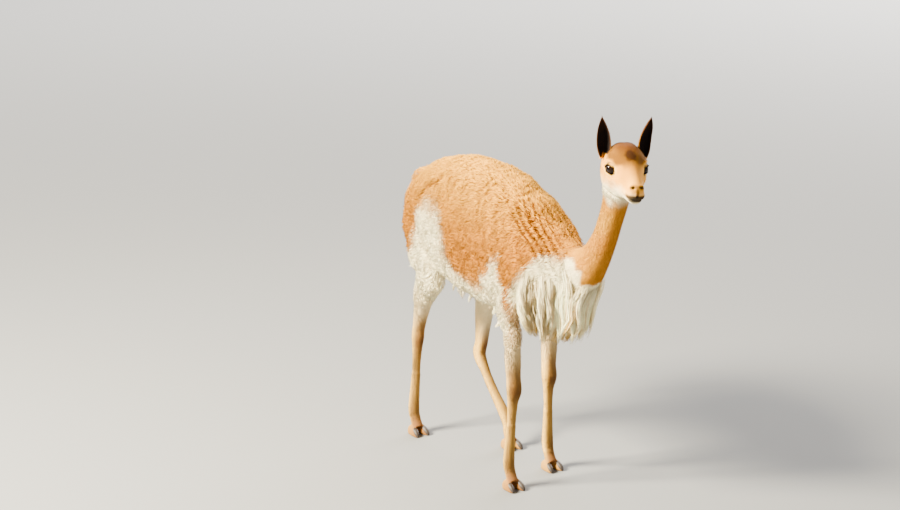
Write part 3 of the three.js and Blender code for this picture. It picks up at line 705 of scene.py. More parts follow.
def lid_rings(side):
    """Rounded lids: from the ball of the eye over a rim and back onto the face."""
    centre, facing, level, upright = eye_axes(side)
    angle = np.arange(LID_POINTS) / LID_POINTS * 2 * math.pi
    half_x, half_z = EYE_OPENING
    corner = 1 + 0.16 * np.abs(np.cos(angle)) ** 6
    flatter = np.where(np.sin(angle) > 0, 0.96, 0.84)
    rows = []
    for grow, ahead in LID_ROWS:
        px = (half_x * corner + grow) * np.cos(angle)
        pz = (half_z * flatter + grow) * np.sin(angle)
        out = px**2 + pz**2
        if rows:
            out = np.minimum(out, LID_REACH**2)
        lift = np.sqrt(np.maximum(LID_BALL**2 - out, 16)) + ahead
        rows.append(centre + px[:, None] * level + pz[:, None] * upright + lift[:, None] * facing)
    rows = np.array(rows)
    return from_head(rows.reshape(-1, 3)).reshape(rows.shape)


def ring_of_rows(name, rows):
    """A closed tube from rows of points, each row a closed loop, the last joined to the first."""
    count, around = rows.shape[:2]
    r, k = np.meshgrid(np.arange(count), np.arange(around), indexing="ij")
    a = (r * around + k).ravel()
    b = (r * around + (k + 1) % around).ravel()
    c = (((r + 1) % count) * around + (k + 1) % around).ravel()
    d = (((r + 1) % count) * around + k).ravel()
    made = mesh_object(name, placed(rows.reshape(-1, 3)), np.stack([a, b, c, d], 1))
    pick_all_faces(made)
    bpy.ops.mesh.normals_make_consistent(inside=False)
    bpy.ops.object.mode_set(mode="OBJECT")
    return made


def whole_skin():
    skin, feet = body_skin()
    for foot in feet:
        united(skin, foot)
    head = head_skin()
    for name, side in SIDES.items():
        united(head, shell("ear_skin_" + name, ear_rings(side)))
        united(head, ring_of_rows("lids_" + name, lid_rings(side)))
    united(skin, head)
    skin.name = "skin"
    return skin


skin = whole_skin()


# Where on the animal a point lies, and its markings

# Lengths along the body that the forelegs, the neck and the head lie ahead of, and one that
# the hind legs lie behind
FORE_FROM = 60
NECK_FROM = 330
HEAD_FROM = 400
HIND_TO = 30
# The way of the hair on the trunk, on the legs and up an ear
LIE_ON_TRUNK = np.array([-0.72, 0, -0.7])
LIE_ON_LEG = np.array([-0.15, 0, -1.0])
LIE_UP_EAR = np.array([-0.15, 0, 1.0])


def beyond(points, plane):
    at, along = plane
    return (points - np.array(at, float)) @ unit(along)


def head_share(points):
    return ramp(beyond(points, NECK_TOP), -6, 30) * (points[:, 0] > HEAD_FROM)


def neck_share(points):
    share = ramp(beyond(points, NECK_ROOT), -70, 50) * (points[:, 0] > NECK_FROM)
    return share * (1 - head_share(points))


def tail_share(points):
    """1 on the tail behind the rump, and 0 elsewhere."""
    x, y, z = points.T
    return ramp(-x, 396, 408) * (np.abs(y) < 50) * (z < 800) * (z > 480)


def foreleg_share(points, upper=505, lower=440):
    x, _, z = points.T
    return ramp(-z, -upper, -lower) * (x > FORE_FROM)


def hindleg_share(points, upper=-30, lower=60):
    return ramp(beyond(points, HIND_PLANE), upper, lower) * (points[:, 0] < HIND_TO)


def ear_place(points):
    """Each point in the frame of the ear on its own side, with the ear's radius there."""
    local = to_head(points)
    side = np.where(local[:, 1] < 0, RIGHT, LEFT)
    found = np.zeros_like(local)
    for value in SIDES.values():
        mine = side == value
        found[mine] = (local[mine] - mirrored(EAR_AT, value)) @ ear_way(value)
    share = np.clip((found[:, 2] + EAR_SUNK) / EAR_LENGTH, 0, 1)
    return found, share, ear_radius(share)


def ear_share(points):
    """1 on an ear above the head, and 0 elsewhere."""
    found, share, radius = ear_place(points)
    reach = np.hypot(found[:, 0], found[:, 1])
    local = np.abs(to_head(points))
    on_it = (reach < radius + 4) & (share > 0.02) & (found[:, 2] > -14)
    off_skull = (local[:, 1] / 61) ** 2.15 + (local[:, 2] / 75) ** 2.15
    return on_it * np.maximum(ramp(off_skull, 1.04, 1.16), (reach < radius - 1.4) * (share > 0.1))


def thigh_white(points):
    """The white band in front of each thigh, from the hip crease down to the hock."""
    x, _, z = points.T
    rear = np.interp(z, [560, 618, 671, 731, 800], [-330, -246, -226, -206, -146])
    front = np.interp(z, [560, 600, 660, 713, 760, 800], [-40, -66, -44, -54, -84, -128])
    return ramp(x - rear, -18, 18) * ramp(front - x, -26, 22) * ramp(-z, -812, -720) * (z > 480)


def belly_white(points):
    """White belly, with a wedge that rises behind each elbow."""
    x, _, z = points.T
    edge = np.interp(
        x,
        [-300, -200, -74, -31, -10, 42, 63, 110, 153, 212, 226, 238],
        [560, 590, 612, 640, 604, 592, 576, 582, 631, 697, 652, 540],
    )
    return ramp(edge - z, -19, 17) * ramp(239 - x, -12, 14)


def bib_white(points):
    """White chest, up to a line across the foot of the neck."""
    x, _, z = points.T
    back = np.interp(z, [440, 505, 564, 621, 663, 694], [244, 248, 260, 268, 288, 311])
    top = np.interp(
        x, [250, 288, 311, 345, 395, 439, 464, 480], [640, 668, 696, 712, 718, 716, 694, 640]
    )
    return ramp(x - back, -12, 12) * ramp(top - z, -12, 10)


def leg_colour(points, normals):
    """Cream behind and inside, fawn to brown down the front and outer side: partly the coat's own
    colour and partly painted shade.
    """
    x, y, z = points.T
    outward = normals[:, 1] * np.sign(y)
    front = ramp(normals[:, 0] + 0.25 * outward, -0.15, 0.75)
    brown = blend(LEG_BROWN, LEG_BROWN * 0.85, ramp(-z, -330, -140))
    warm = blend(CREAM * 0.8, CREAM, ramp(-outward, -0.2, 0.6))
    warm = blend(warm, WHITE, 0.5 * ramp(z, 300, 420))
    # The brown down the front is partly the coat's own colour and partly painted shade.
    how_brown = np.interp(
        z, [80, 130, 230, 290, 350, 400, 480], [0.85, 0.66, 0.7, 0.95, 0.8, 0.4, 0.18]
    )
    found = blend(warm, brown, front * how_brown)
    hock_patch = np.exp(-(((z - 215) / 34) ** 2)) * (x < 0) * ramp(outward, 0.3, 0.8)
    found = blend(found, DARK, 0.55 * hock_patch)
    return blend(found, LEG_BROWN * 2.2, ramp(-z, -70, -30) * 0.7)


def head_colour(points, neck):
    """Orange-brown crown with a darker spot, pale cheeks and muzzle, dark nose and lips."""
    x, y, z = to_head(points).T
    soft = 5 * waves(points, 26, 61)
    found = blend(FACE, WHITE, ramp(soft - z, 2, 52))
    behind_jaw = ramp(-x + soft, 38, 52) * ramp(-z, 40, 60)
    nape = np.maximum(ramp(-x, 16, 44) * ramp(z, -46, -6), behind_jaw)
    crown = ramp(z + soft - 0.1 * np.abs(y), 24, 40) * ramp(-x, -92, -56)
    bridge = ramp(z + soft, -22, 10) * ramp(x, 20, 44) * (1 - ramp(x, 96, 132))
    bridge = bridge * ramp(-np.abs(y), -46, -22)
    found = blend(found, FAWN * 0.85, 0.6 * bridge)
    found = blend(found, neck, nape)
    found = blend(found, FAWN * 0.33, crown)
    found = blend(found, RUST * 0.34, crown * ramp(z, 56, 74) * 0.9)
    spot = ramp(-np.hypot((x - 45) / 17, y / 17) - 0.12 * waves(points, 14, 64), -1.25, -0.55)
    found = blend(found, BROWN * 0.3, spot * ramp(z, 30, 46) * 0.92)
    side_of_eye = np.hypot(x - EYE_AT[0] - 6, (z - EYE_AT[2]) * 1.1)
    at_side = ramp(np.abs(y), 26, 34)
    ring = ramp(-side_of_eye, -26, -19) * at_side
    found = blend(found, CREAM, ring * 0.75)
    # A dark brow line, and painted shade in the crease under the eye.
    brow = np.exp(-((side_of_eye - 20) / 2.6) ** 2) * ramp(z, 24, 32) * at_side
    crease_shade_under_eye = np.exp(-((side_of_eye - 22) / 1.6) ** 2) * ramp(-z, -6, 2) * at_side
    found = blend(found, BROWN, 0.55 * brow + 0.4 * crease_shade_under_eye)
    lids = np.hypot(x - EYE_AT[0] - 6, (z - EYE_AT[2] + 0.14 * (x - EYE_AT[0])) * 1.25)
    found = blend(found, DARK * 0.5, ramp(-lids, -20.5, -16.5) * at_side)
    pad = ramp(-np.hypot(y / 5, (z + 9) / 13), -1.3, -0.6) * ramp(x, 136, 142)
    rim = np.exp(-((np.hypot(x - NOSTRIL_AT[0] + 1, z - NOSTRIL_AT[2] - 1) / 5.6) ** 2)) * (x > 124)
    found = blend(found, BROWN * 0.5, 0.75 * pad)
    found = blend(found, DARK * 0.3, 0.95 * rim)
    above_mouth = z - mouth_height(x)
    mouth = ramp(x, MOUTH_CORNER[0] - 2, MOUTH_CORNER[0] + 10)
    mouth = mouth * np.exp(-((above_mouth / 3.2) ** 2))
    lips = ramp(x, 116, 138) * ramp(-np.abs(above_mouth - 4), -14, -7)
    return blend(found, DARK * 0.4, np.maximum(mouth, lips) * 0.94)


def ear_colour(points):
    """Dark inside, partly dark skin and partly painted shade in the ear's hollow; fawn behind, with
    a pale rim.
    """
    found, share, radius = ear_place(points)
    reach = np.hypot(found[:, 0], found[:, 1])
    inside = ramp(radius - reach, 0.9, 2.2)
    edge = math.pi - ear_opening(share)
    turn = np.abs(np.arctan2(found[:, 1], -found[:, 0]))
    rim = ramp(turn, edge - 0.16, edge - 0.02)
    back = blend(FAWN * 0.5, BROWN * 0.6, ramp(share, 0.15, 0.8))
    # Painted shade inside the ear, over its dark skin.
    colours = blend(back, DARK * 0.8, inside)
    return blend(colours, BROWN * 0.5, rim * 0.6 * ramp(-share, -0.97, -0.8))


def markings(points, normals):
    """The colour of the coat at each place, the same for the skin and the hair on it, with painted
    shade down the front of the neck, inside the ears and partly down the front of the legs.
    """
    x, _, z = points.T
    edges = points + 9 * drift(points, 45, (3, 4, 5))
    fawn = blend(FAWN, GOLD_FAWN, ramp(z, 690, 860))
    rusty = ramp(-z, -760, -620) * (0.1 + 0.14 * waves(points, 120, 8))
    low_flank = np.exp(-(((x - 50) / 95) ** 2) - ((z - 680) / 75) ** 2)
    rusty = rusty + 0.5 * low_flank * ramp(waves(points, 26, 9), 0.1, 1.0)
    fawn = blend(fawn, RUST, np.clip(rusty, 0, 1))
    white = np.maximum.reduce([
        thigh_white(edges), belly_white(edges), bib_white(edges),
        ramp(-normals[:, 2], 0.1, 0.8) * ramp(-z, -640, -560),
    ])
    white = white * (1 - tail_share(points))
    trunk = blend(fawn, WHITE, white)
    neck = blend(GOLD_FAWN, FAWN, (0.45 + 0.3 * waves(points, 90, 6)).clip(0, 1))
    # Painted shade: the front of the neck darker, more so on its left side.
    shaded_neck_front = ramp(normals[:, 0] + 0.3 * normals[:, 1], 0.3, 0.9)
    neck = blend(neck, FAWN * 0.85, 0.7 * shaded_neck_front)
    found = blend(trunk, blend(neck, WHITE, bib_white(edges)), neck_share(points))
    leg = np.maximum(hindleg_share(points, 20, 190), foreleg_share(points, 500, 400))
    found = blend(found, leg_colour(points, normals), leg)
    tail = blend(FAWN, WHITE, ramp(-z, -640, -590) * 0.6)
    found = blend(found, tail, tail_share(points))
    throat = ramp(beyond(points, NECK_TOP) + 9 * waves(points, 30, 62), -34, 4)
    found = blend(found, head_colour(points, neck), throat * (x > HEAD_FROM))
    return blend(found, ear_colour(points), ear_share(points))


def lie_of_coat(points, normals):
    """The way the hair points at each place: back and down, and to the ground on the legs."""
    samples = np.linspace(0, 1, 50)
    neck = middle_line(NECK, samples)
    down_neck = -unit(np.gradient(neck, axis=0))
    off = (points[:, None, 2] - neck[None, :, 2]) ** 2
    off = off + (points[:, None, 0] - neck[None, :, 0]) ** 2
    lie = blend(LIE_ON_TRUNK, down_neck[np.argmin(off, axis=1)], neck_share(points))
    tail = middle_line(TAIL, samples)
    down_tail = unit(np.gradient(tail, axis=0))
    off = (points[:, None, 2] - tail[None, :, 2]) ** 2
    lie = blend(lie, down_tail[np.argmin(off, axis=1)], tail_share(points))
    leg = np.maximum(foreleg_share(points), hindleg_share(points))
    lie = blend(lie, LIE_ON_LEG, leg)
    local = to_head(points)
    down = np.where(local[:, 2] > 10, 0.25, -0.55)
    on_head = np.stack([np.full(len(points), -0.9), 0.12 * np.sign(local[:, 1]), down], 1)
    lie = blend(lie, on_head @ HEAD_WAY.T, head_share(points))
    lie = blend(lie, LIE_UP_EAR @ HEAD_WAY.T, ear_share(points))
    along = lie - normals * np.einsum("ij,ij->i", lie, normals)[:, None]
    return unit(along)


# Hair

# Width of a tuft at each of its rows, for tufts of one row and of two
TUFT_PROFILE = {1: np.array([[1.0]]), 2: np.array([[0.85, 1.0]])}
# How much of red, green and blue a hollow of the fleece takes away, so that its shade is warm
HOLLOW_TINT = np.array([0.86, 1.0, 1.1])


def corners_of(skin):
    skin.data.calc_loop_triangles()
    faces = np.zeros(len(skin.data.loop_triangles) * 3, np.int32)
    skin.data.loop_triangles.foreach_get("vertices", faces)
    return faces.reshape(-1, 3)


def spread_order(points):
    """An order in which places near each other come near each other."""
    cell = ((points - points.min(0)) / 2.0).astype(np.int64).clip(0, 1023)
    code = np.zeros(len(points), np.int64)
    for bit in range(10):
        for axis in range(3):
            code |= ((cell[:, axis] >> bit) & 1) << (3 * bit + axis)
    return np.argsort(code)


class Coat:
    """The skin's surface, from which evenly spread roots are taken."""

    def __init__(self, skin):
        self.points = points_of(skin)
        self.normals = normals_of(skin)
        faces = corners_of(skin)
        middles = self.points[faces].mean(1)
        faces = faces[spread_order(middles)]
        self.faces = faces
        a, b, c = (self.points[faces[:, k]] for k in range(3))
        self.middles = (a + b + c) / 3
        self.areas = np.linalg.norm(np.cross(b - a, c - a), axis=1) / 2
        self.face_normals = unit(self.normals[faces].sum(1))

    def roots(self, share_of, spacing, seed):
        """Roots about that far apart, thinned where the share is below 1."""
        draw = np.random.default_rng(seed)
        weight = self.areas * share_of(self.middles, self.face_normals)
        total = np.cumsum(weight)
        count = int(total[-1] / spacing**2)
        places = (np.arange(count) + draw.uniform(0.15, 0.85, count)) * total[-1] / count
        chosen = self.faces[np.searchsorted(total, places).clip(0, len(total) - 1)]
        u, v = draw.uniform(size=(2, count))
        over = u + v > 1
        u, v = np.where(over, 1 - u, u), np.where(over, 1 - v, v)
        shares = np.stack([1 - u - v, u, v], 1)
        point = np.einsum("ij,ijk->ik", shares, self.points[chosen])
        normal = unit(np.einsum("ij,ijk->ik", shares, self.normals[chosen]))
        return point, normal


def tuft_faces(rows):
    """The triangles of one three-sided tuft with that many rows below its tip."""
    faces = [(2, 1, 0)]
    for row in range(rows - 1):
        for k in range(3):
            a, b = 3 * row + k, 3 * row + (k + 1) % 3
            faces += [(a, b, b + 3), (a, b + 3, a + 3)]
    last = 3 * (rows - 1)
    faces += [(last + k, last + (k + 1) % 3, 3 * rows) for k in range(3)]
    return np.array(faces)


def hair_mesh(name, line, across, upward, half, colours, flat, finish, place):
    """Tufts as closed three-sided blades along lines of points, each ending in a point.

    line is (tufts, rows + 1, 3), half is (tufts, rows), and colours go along each line.
    """
    count, rows = half.shape
    ahead = unit(np.gradient(line, axis=1))[:, :rows]
    sideways = np.broadcast_to(across[:, None], ahead.shape)
    sideways = unit(sideways - ahead * (sideways * ahead).sum(2, keepdims=True))
    up = np.cross(ahead, sideways)
    wrong = (up * upward[:, None]).sum(2, keepdims=True) < 0
    sideways = np.where(wrong, -sideways, sideways)
    up = np.where(wrong, -up, up)
    middle = line[:, :rows]
    size = half[..., None]
    ring = np.stack([
        middle - sideways * size - up * size * flat * 0.35,
        middle + sideways * size - up * size * flat * 0.35,
        middle + up * size * flat,
    ], 2)
    points = np.concatenate([ring.reshape(count, rows * 3, 3), line[:, rows:]], 1)
    shades = np.concatenate([np.repeat(colours[:, :rows], 3, axis=1), colours[:, rows:]], 1)
    faces = tuft_faces(rows)[None] + (np.arange(count) * (3 * rows + 1))[:, None, None]
    points = points.reshape(-1, 3)
    points[:, 2] = np.maximum(points[:, 2], 0.4)
    made = mesh_object(name, placed(points), faces.reshape(-1, 3))
    paint(made, shades.reshape(-1, 3))
    u = np.append(np.tile([-0.5, 0.5, 0.0], rows), 0)
    v = np.append(np.repeat(np.arange(rows) / rows, 3), 1.0) - 0.5
    patch = np.stack([u, v], 1) * BAKE_PATCH
    bake = (place[:, None] + patch[None]).reshape(-1, 2)
    layer = made.data.uv_layers.new(name="OFBake")
    layer.data.foreach_set("uv", bake[faces.ravel()].astype(np.float32).ravel())
    made.data.materials.append(finish)
    return made


def paint(piece, colours):
    """A colour for each point, kept on the piece as its coat."""
    layer = piece.data.color_attributes.new(name="coat", type="FLOAT_COLOR", domain="POINT")
    values = np.column_stack([np.clip(colours, 0, 1), np.ones(len(colours))])
    layer.data.foreach_set("color", values.astype(np.float32).ravel())


def spread(values):
    """Values brought to between 0.01 and 0.99."""
    low, high = values.min(), values.max()
    return 0.01 + 0.98 * (values - low) / max(high - low, 1e-6)


def unrolled(points, axis):
    """Each root's place on the skin laid flat: round the part, and along it."""
    ahead = unit(np.asarray(axis, float))
    sideways = unit(np.cross([0.2, 1, 0.1], ahead))
    other = np.cross(ahead, sideways)
    centre = points.mean(0)
    length = points @ ahead
    knots = np.linspace(length.min(), length.max() + 1e-3, 14)
    slot = np.clip(np.searchsorted(knots, length) - 1, 0, 12)
    middle = np.array([
        points[slot == i].mean(0) if (slot == i).any() else centre for i in range(13)
    ])
    away = points - middle[slot]
    angle = np.arctan2(away @ sideways, away @ other)
    return np.stack([spread(angle), spread(length)], 1)


def gathered(points, lie, size, pull, seed):
    """Turns the lie of nearby hairs towards a shared tip, so that they stand in clumps."""
    draw = np.random.default_rng(seed)
    shifted = points / size + 0.35 * drift(points, size * 3, range(seed, seed + 3))
    cell = (np.floor(shifted) * [73856093, 19349663, 83492791]).astype(np.int64)
    code = cell[:, 0] ^ cell[:, 1] ^ cell[:, 2]
    owner = np.unique(code, return_inverse=True)[1]
    total = np.bincount(owner)
    middle = np.stack([np.bincount(owner, points[:, k]) / total for k in range(3)], 1)
    shade = draw.uniform(-1, 1, len(total))
    towards = (middle[owner] - points) / size
    return unit(lie + pull * towards), shade[owner], towards


def folds(points):
    """Long folds of the fleece from the withers to the neck, -1 in a hollow and 1 on a ridge."""
    x, y, z = points.T
    along = 0.63 * x + 0.777 * z
    around = np.abs(y) + 0.8 * (785 - along).clip(0, 200) + 6 * waves(points, 80, 91)
    place = ramp(x, 170, 225) * ramp(-x, -405, -350)
    place = place * ramp(around, 4, 22) * (1 - ramp(around, 84, 112))
    return place * np.cos(2 * math.pi * around / 19)


def creases(points):
    """The tuck in front of each hip and down the front of the thigh, 1 along its bottom."""
    x, y, z = points.T
    line = np.interp(x, [-212, -170, -112], [772, 812, 838])
    hip = np.exp(-(((z - line) / 8) ** 2)) * ramp(x, -220, -200) * ramp(-x, 100, 120)
    front = np.interp(z, [560, 640, 713, 790], [-30, -36, -50, -116])
    flank = 0.4 * np.exp(-(((x - front) / 16) ** 2)) * ramp(z, 560, 640) * ramp(-z, -800, -740)
    return np.maximum(hip, flank) * ramp(np.abs(y), 40, 70)


def wool_relief(points):
    """How much the fleece stands higher or lower than its even depth, as a share."""
    soft = 0.12 * waves(points, 70, 93) + 0.07 * waves(points, 24, 94)
    soft = soft + 0.04 * waves(points, 11, 95)
    return soft + 0.4 * folds(points) - 0.5 * creases(points)


def short_hair(name, coat, share_of, spacing, axis, seed, length, half, lift, rows, finish,
               clump=14, pull=0.5, tip_light=1.08, root_shade=0.7, variety=0.1, swirl=0.2,
               raised_root=None, gap_shade=0.0, jitter=0.8, flat=0.55):
    """Hair that lies along the body, unrolled along an axis for its map.

    length, half (its half width), lift and raised_root are functions of the place. clump is the
    size of the groups whose tips pull together, gap_shade how dark the painted shade between them
    is, root_shade how bright it is at the root under the painted shade deep in the coat, jitter
    how far its colour strays, and flat its thickness for its width.
    """
    points, normals = coat.roots(share_of, spacing, seed)
    draw = np.random.default_rng(seed + 1)
    lie = lie_of_coat(points, normals)
    stray = 0.14 * draw.normal(size=points.shape)
    stray = stray + swirl * drift(points, 26, range(seed + 2, seed + 5))
    lie, shade, towards = gathered(points, unit(lie + stray), clump, pull, seed)
    lie = unit(lie - normals * (lie * normals).sum(1, keepdims=True))
    raised = lift(points)[:, None] * draw.uniform(0.8, 1.15, (len(points), 1))
    first = unit(normals * raised + lie * (1 - 0.4 * raised))
    last = unit(lie + normals * 0.12 + 0.1 * draw.normal(size=points.shape))
    reach = (length(points) * draw.uniform(0.8, 1.15, len(points)))[:, None, None]
    t = (np.arange(rows + 1) / rows)[None, :, None]
    base = points - normals * 0.8
    from_tip = np.linalg.norm(towards, axis=1)
    if raised_root:
        edge = ramp(from_tip, 0.2, 0.6)
        base = base + normals * (raised_root(points) - 2.0 * edge)[:, None]
    line = base[:, None] + reach * (
        first[:, None] * (t - t * t / 2) + last[:, None] * t * t / 2
    )
    widths = half(points)[:, None] * TUFT_PROFILE[rows] * draw.uniform(0.8, 1.2, (len(points), 1))
    strayed = points + jitter * draw.normal(size=points.shape)
    own = draw.normal(size=(len(points), 1))
    colours = markings(strayed, normals)
    colours = colours * (1 + variety * shade[:, None] * 0.6 + variety * own * 0.5)
    # Painted shade: darker between the clumps, in the hollows of the folds and along the creases.
    hollow = gap_shade * ramp(from_tip, 0.25, 0.62) * (1 - 0.8 * bib_white(points))
    hollow = hollow + 0.8 * np.maximum(0, -folds(points)) + 0.75 * creases(points)
    colours = colours * (1 - hollow.clip(0, 0.85)[:, None] * HOLLOW_TINT)
    # Painted shade at the root, deep in the coat, and a little lighter towards the tip.
    brighten = root_shade + (tip_light - root_shade) * t**0.7
    return hair_mesh(
        name, line, np.cross(normals, lie), normals, widths, colours[:, None] * brighten, flat,
        finish, unrolled(points, axis),
    )


# Finishes


def new_material(name, roughness):
    material = bpy.data.materials.new(name)
    material.use_nodes = True
    nodes = material.node_tree.nodes
    shader = nodes["Principled BSDF"]
    shader.inputs["Roughness"].default_value = roughness
    return material, nodes, material.node_tree.links, shader


def add_node(nodes, kind, **values):
    """A node of a finish with some of its inputs set."""
    made = nodes.new("ShaderNode" + kind)
    for name, value in values.items():
        made.inputs[name.replace("_", " ")].default_value = value
    return made


def own_markings(nodes, links, factor):
    """The piece's own colours, each made lighter or darker by a factor."""
    marks = add_node(nodes, "Attribute")
    marks.attribute_name = "coat"
    shaded = add_node(nodes, "VectorMath")
    shaded.operation = "MULTIPLY"
    links.new(marks.outputs["Color"], shaded.inputs[0])
    links.new(factor, shaded.inputs[1])
    return shaded.outputs["Vector"]


def coat_finish(name, roughness, gloss, patch_scale, patch_strength, bump_scale=0, bump_depth=0):
    """Hair or skin in its own markings, with soft patches of lighter and darker colour."""
    material, nodes, links, shader = new_material(name, roughness)
    shader.inputs["Specular IOR Level"].default_value = gloss
    where = add_node(nodes, "TexCoord")
    noise = add_node(nodes, "TexNoise", Scale=patch_scale, Detail=5)
    links.new(where.outputs["Object"], noise.inputs["Vector"])
    patches = add_node(
        nodes, "MapRange", From_Min=0.3, From_Max=0.7, To_Min=1 - patch_strength,
        To_Max=1 + patch_strength,
    )
    links.new(noise.outputs["Fac"], patches.inputs["Value"])
    shaded = own_markings(nodes, links, patches.outputs["Result"])
    links.new(shaded, shader.inputs["Base Color"])
    if bump_scale:
        fine = add_node(nodes, "TexNoise", Scale=bump_scale, Detail=6)
        links.new(where.outputs["Object"], fine.inputs["Vector"])
        bump = add_node(nodes, "Bump", Distance=bump_depth, Strength=0.7)
        links.new(fine.outputs["Fac"], bump.inputs["Height"])
        links.new(bump.outputs["Normal"], shader.inputs["Normal"])
    return material


def eye_finish():
    """A wet, nearly black eye with a faint brown iris."""
    material, nodes, links, shader = new_material("wet_eye", 0.07)
    shader.inputs["Specular IOR Level"].default_value = 0.26
    where = add_node(nodes, "TexCoord")
    noise = add_node(nodes, "TexNoise", Scale=900)
    links.new(where.outputs["Object"], noise.inputs["Vector"])
    streaks = own_markings(nodes, links, noise.outputs["Color"])
    links.new(streaks, shader.inputs["Base Color"])
    return material


def horn_finish():
    """Worn dark horn, streaked along each nail."""
    material, nodes, links, shader = new_material("worn_horn", 0.55)
    where = add_node(nodes, "TexCoord")
    stretch = add_node(nodes, "Mapping", Scale=(60, 420, 420))
    links.new(where.outputs["Object"], stretch.inputs["Vector"])
    noise = add_node(nodes, "TexNoise", Scale=1.0, Detail=6)
    links.new(stretch.outputs["Vector"], noise.inputs["Vector"])
    tones = add_node(nodes, "ValToRGB")
    tones.color_ramp.elements[0].color = (*colour(22, 17, 15), 1)
    tones.color_ramp.elements[1].color = (*colour(66, 52, 42), 1)
    links.new(noise.outputs["Fac"], tones.inputs["Fac"])
    links.new(tones.outputs["Color"], shader.inputs["Base Color"])
    bump = add_node(nodes, "Bump", Distance=0.0006)
    links.new(noise.outputs["Fac"], bump.inputs["Height"])
    links.new(bump.outputs["Normal"], shader.inputs["Normal"])
    return material


SKIN_FINISH = coat_finish(
    "short_hair_skin", roughness=0.85, gloss=0.08, patch_scale=30, patch_strength=0.06,
    bump_scale=420, bump_depth=0.0012,
)
FLEECE_FINISH = coat_finish(
    "fleece_wool", roughness=0.9, gloss=0.04, patch_scale=45, patch_strength=0.12
)
COAT_FINISH = coat_finish(
    "flat_coat_hair", roughness=0.75, gloss=0.08, patch_scale=70, patch_strength=0.08
)
LOCK_FINISH = coat_finish(
    "silky_locks", roughness=0.6, gloss=0.16, patch_scale=40, patch_strength=0.07
)
EYE_FINISH = eye_finish()
HORN_FINISH = horn_finish()


# Eyes and nails


def finished(piece, slot, *nodes):
    """The last step of each piece: its body, and the nodes that it replaces. slot is not used."""
    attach(piece, "root")
    if nodes:
        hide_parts(*nodes)


def eyeball(name, side):
    """A round eye with a slight cornea, dark iris and wide pupil."""
    pick_nothing()
    centre = eye_centre(side)
    bpy.ops.mesh.primitive_uv_sphere_add(
        segments=48, ring_count=32, radius=EYE_RADIUS * MM, location=placed([centre])[0]
    )
    eye = bpy.context.object
    bpy.ops.object.transform_apply(location=True, rotation=True, scale=True)
    eye.name = "eyeball_" + name
    facing = HEAD_WAY @ unit(mirrored(EYE_FACING, side))
    head_up = HEAD_WAY @ np.array([0, 0, 1.0])
    points = points_of(eye)
    away = points - centre
    ahead = away @ facing / EYE_RADIUS
    flat = away - (away @ facing)[:, None] * facing
    high = flat @ head_up
    wide = np.sqrt(np.maximum((flat**2).sum(1) - high**2, 0))
    set_points(eye, points + away * (0.035 * ramp(ahead, 0.72, 0.95))[:, None])
    pupil = ramp(-np.hypot(wide / 6.5, high / 4.0), -1.1, -0.9)
    iris = ramp(-np.hypot(wide, high), -12.5, -11.5)
    shades = blend(colour(18, 13, 12), colour(44, 26, 16), iris)
    paint(eye, blend(shades, colour(4, 3, 3), pupil))
    pick(eye)
    bpy.ops.object.shade_smooth()
    eye.data.materials.append(EYE_FINISH)
    finished(eye, "eye", "eye_" + name)


def nail(leg_name, leg, toe, outward):
    """The horn at a toe's tip: its own end, slightly larger, cut off by a slanting plane."""
    foot, side = leg["foot"], leg["side"]
    name = f"{leg_name}_nail_{toe}"
    toe_end = toe_rings(foot, side, outward * side, grow=0.25, steps=40, sides=36)
    horn = shell("horn_" + name, toe_end)
    cut = placed([[foot[0] + TOE_LENGTH - NAIL_LENGTH, 0, TOE_HEIGHT * 0.8]])[0]
    pick_all_faces(horn)
    bpy.ops.mesh.bisect(
        plane_co=cut, plane_no=(TOE_HEIGHT * 0.78, 0, NAIL_LENGTH * 0.8),
        clear_inner=True, use_fill=True,
    )
    bpy.ops.object.mode_set(mode="OBJECT")
    finish_with(horn, "BEVEL", width=0.0008, segments=2, limit_method="ANGLE")
    pick(horn)
    bpy.ops.object.shade_smooth_by_angle(angle=math.radians(40))
    horn.data.materials.append(HORN_FINISH)
    finished(horn, "nail", name)


for eye_name, eye_side in SIDES.items():
    eyeball(eye_name, eye_side)
for kind, legs in (("fore", FORELEGS), ("hind", HINDLEGS)):
    for leg_name, leg in legs.items():
        for toe, outward in TOES.items():
            nail(f"{kind}_{leg_name}", leg, toe, outward)


# The coat, region by region

ON_TRUNK, ON_NECK, ON_LEGS, ON_HEAD, ON_TAIL, ON_EARS = range(6)
ENDLESS = 1e9
# Below this height the hair of the legs lies flat
LEG_HAIR_TOP = 430


def coat_depth(points):
    """How far the hair stands off the skin."""
    z = points[:, 2]
    depth = np.full(len(points), float(FLEECE_DEPTH))
    leg = foreleg_share(points, 560, 480) + hindleg_share(points)
    depth = depth + (coat_depth_on_leg(z) - depth) * np.clip(leg, 0, 1)
    depth = depth + (NECK_COAT - depth) * neck_share(points)
    depth = depth + (6 - depth) * tail_share(points)
    depth = depth + (HEAD_COAT - depth) * head_share(points)
    return depth + (1.2 - depth) * ear_share(points)


def fleece_length(points):
    covered = np.maximum(0.5 * under_bib(points), 0.45 * near_neck(points))
    return (5.5 + 1.75 * coat_depth(points)) * (1 - covered)


def staple_half_width(points):
    return 1.0 + 0.12 * coat_depth(points)


def staple_lift(points):
    return (0.7 * coat_depth(points) / fleece_length(points) - 0.18).clip(0.0, 0.4)


def fine_length(points):
    length = (3.6 + 0.55 * coat_depth(points)) * (1 - 0.25 * near_neck(points))
    return length + 9 * bib_white(points)


def fine_half_width(points):
    return 0.28 + 0.026 * coat_depth(points)


def fine_lift(points):
    return 0.42 - 0.2 * bib_white(points) - 0.16 * ramp(-points[:, 2], -560, -440)


def under_bib(points):
    """1 where the bib's long locks cover the short wool."""
    return bib_white(points) * ramp(-points[:, 2], -694, -640)


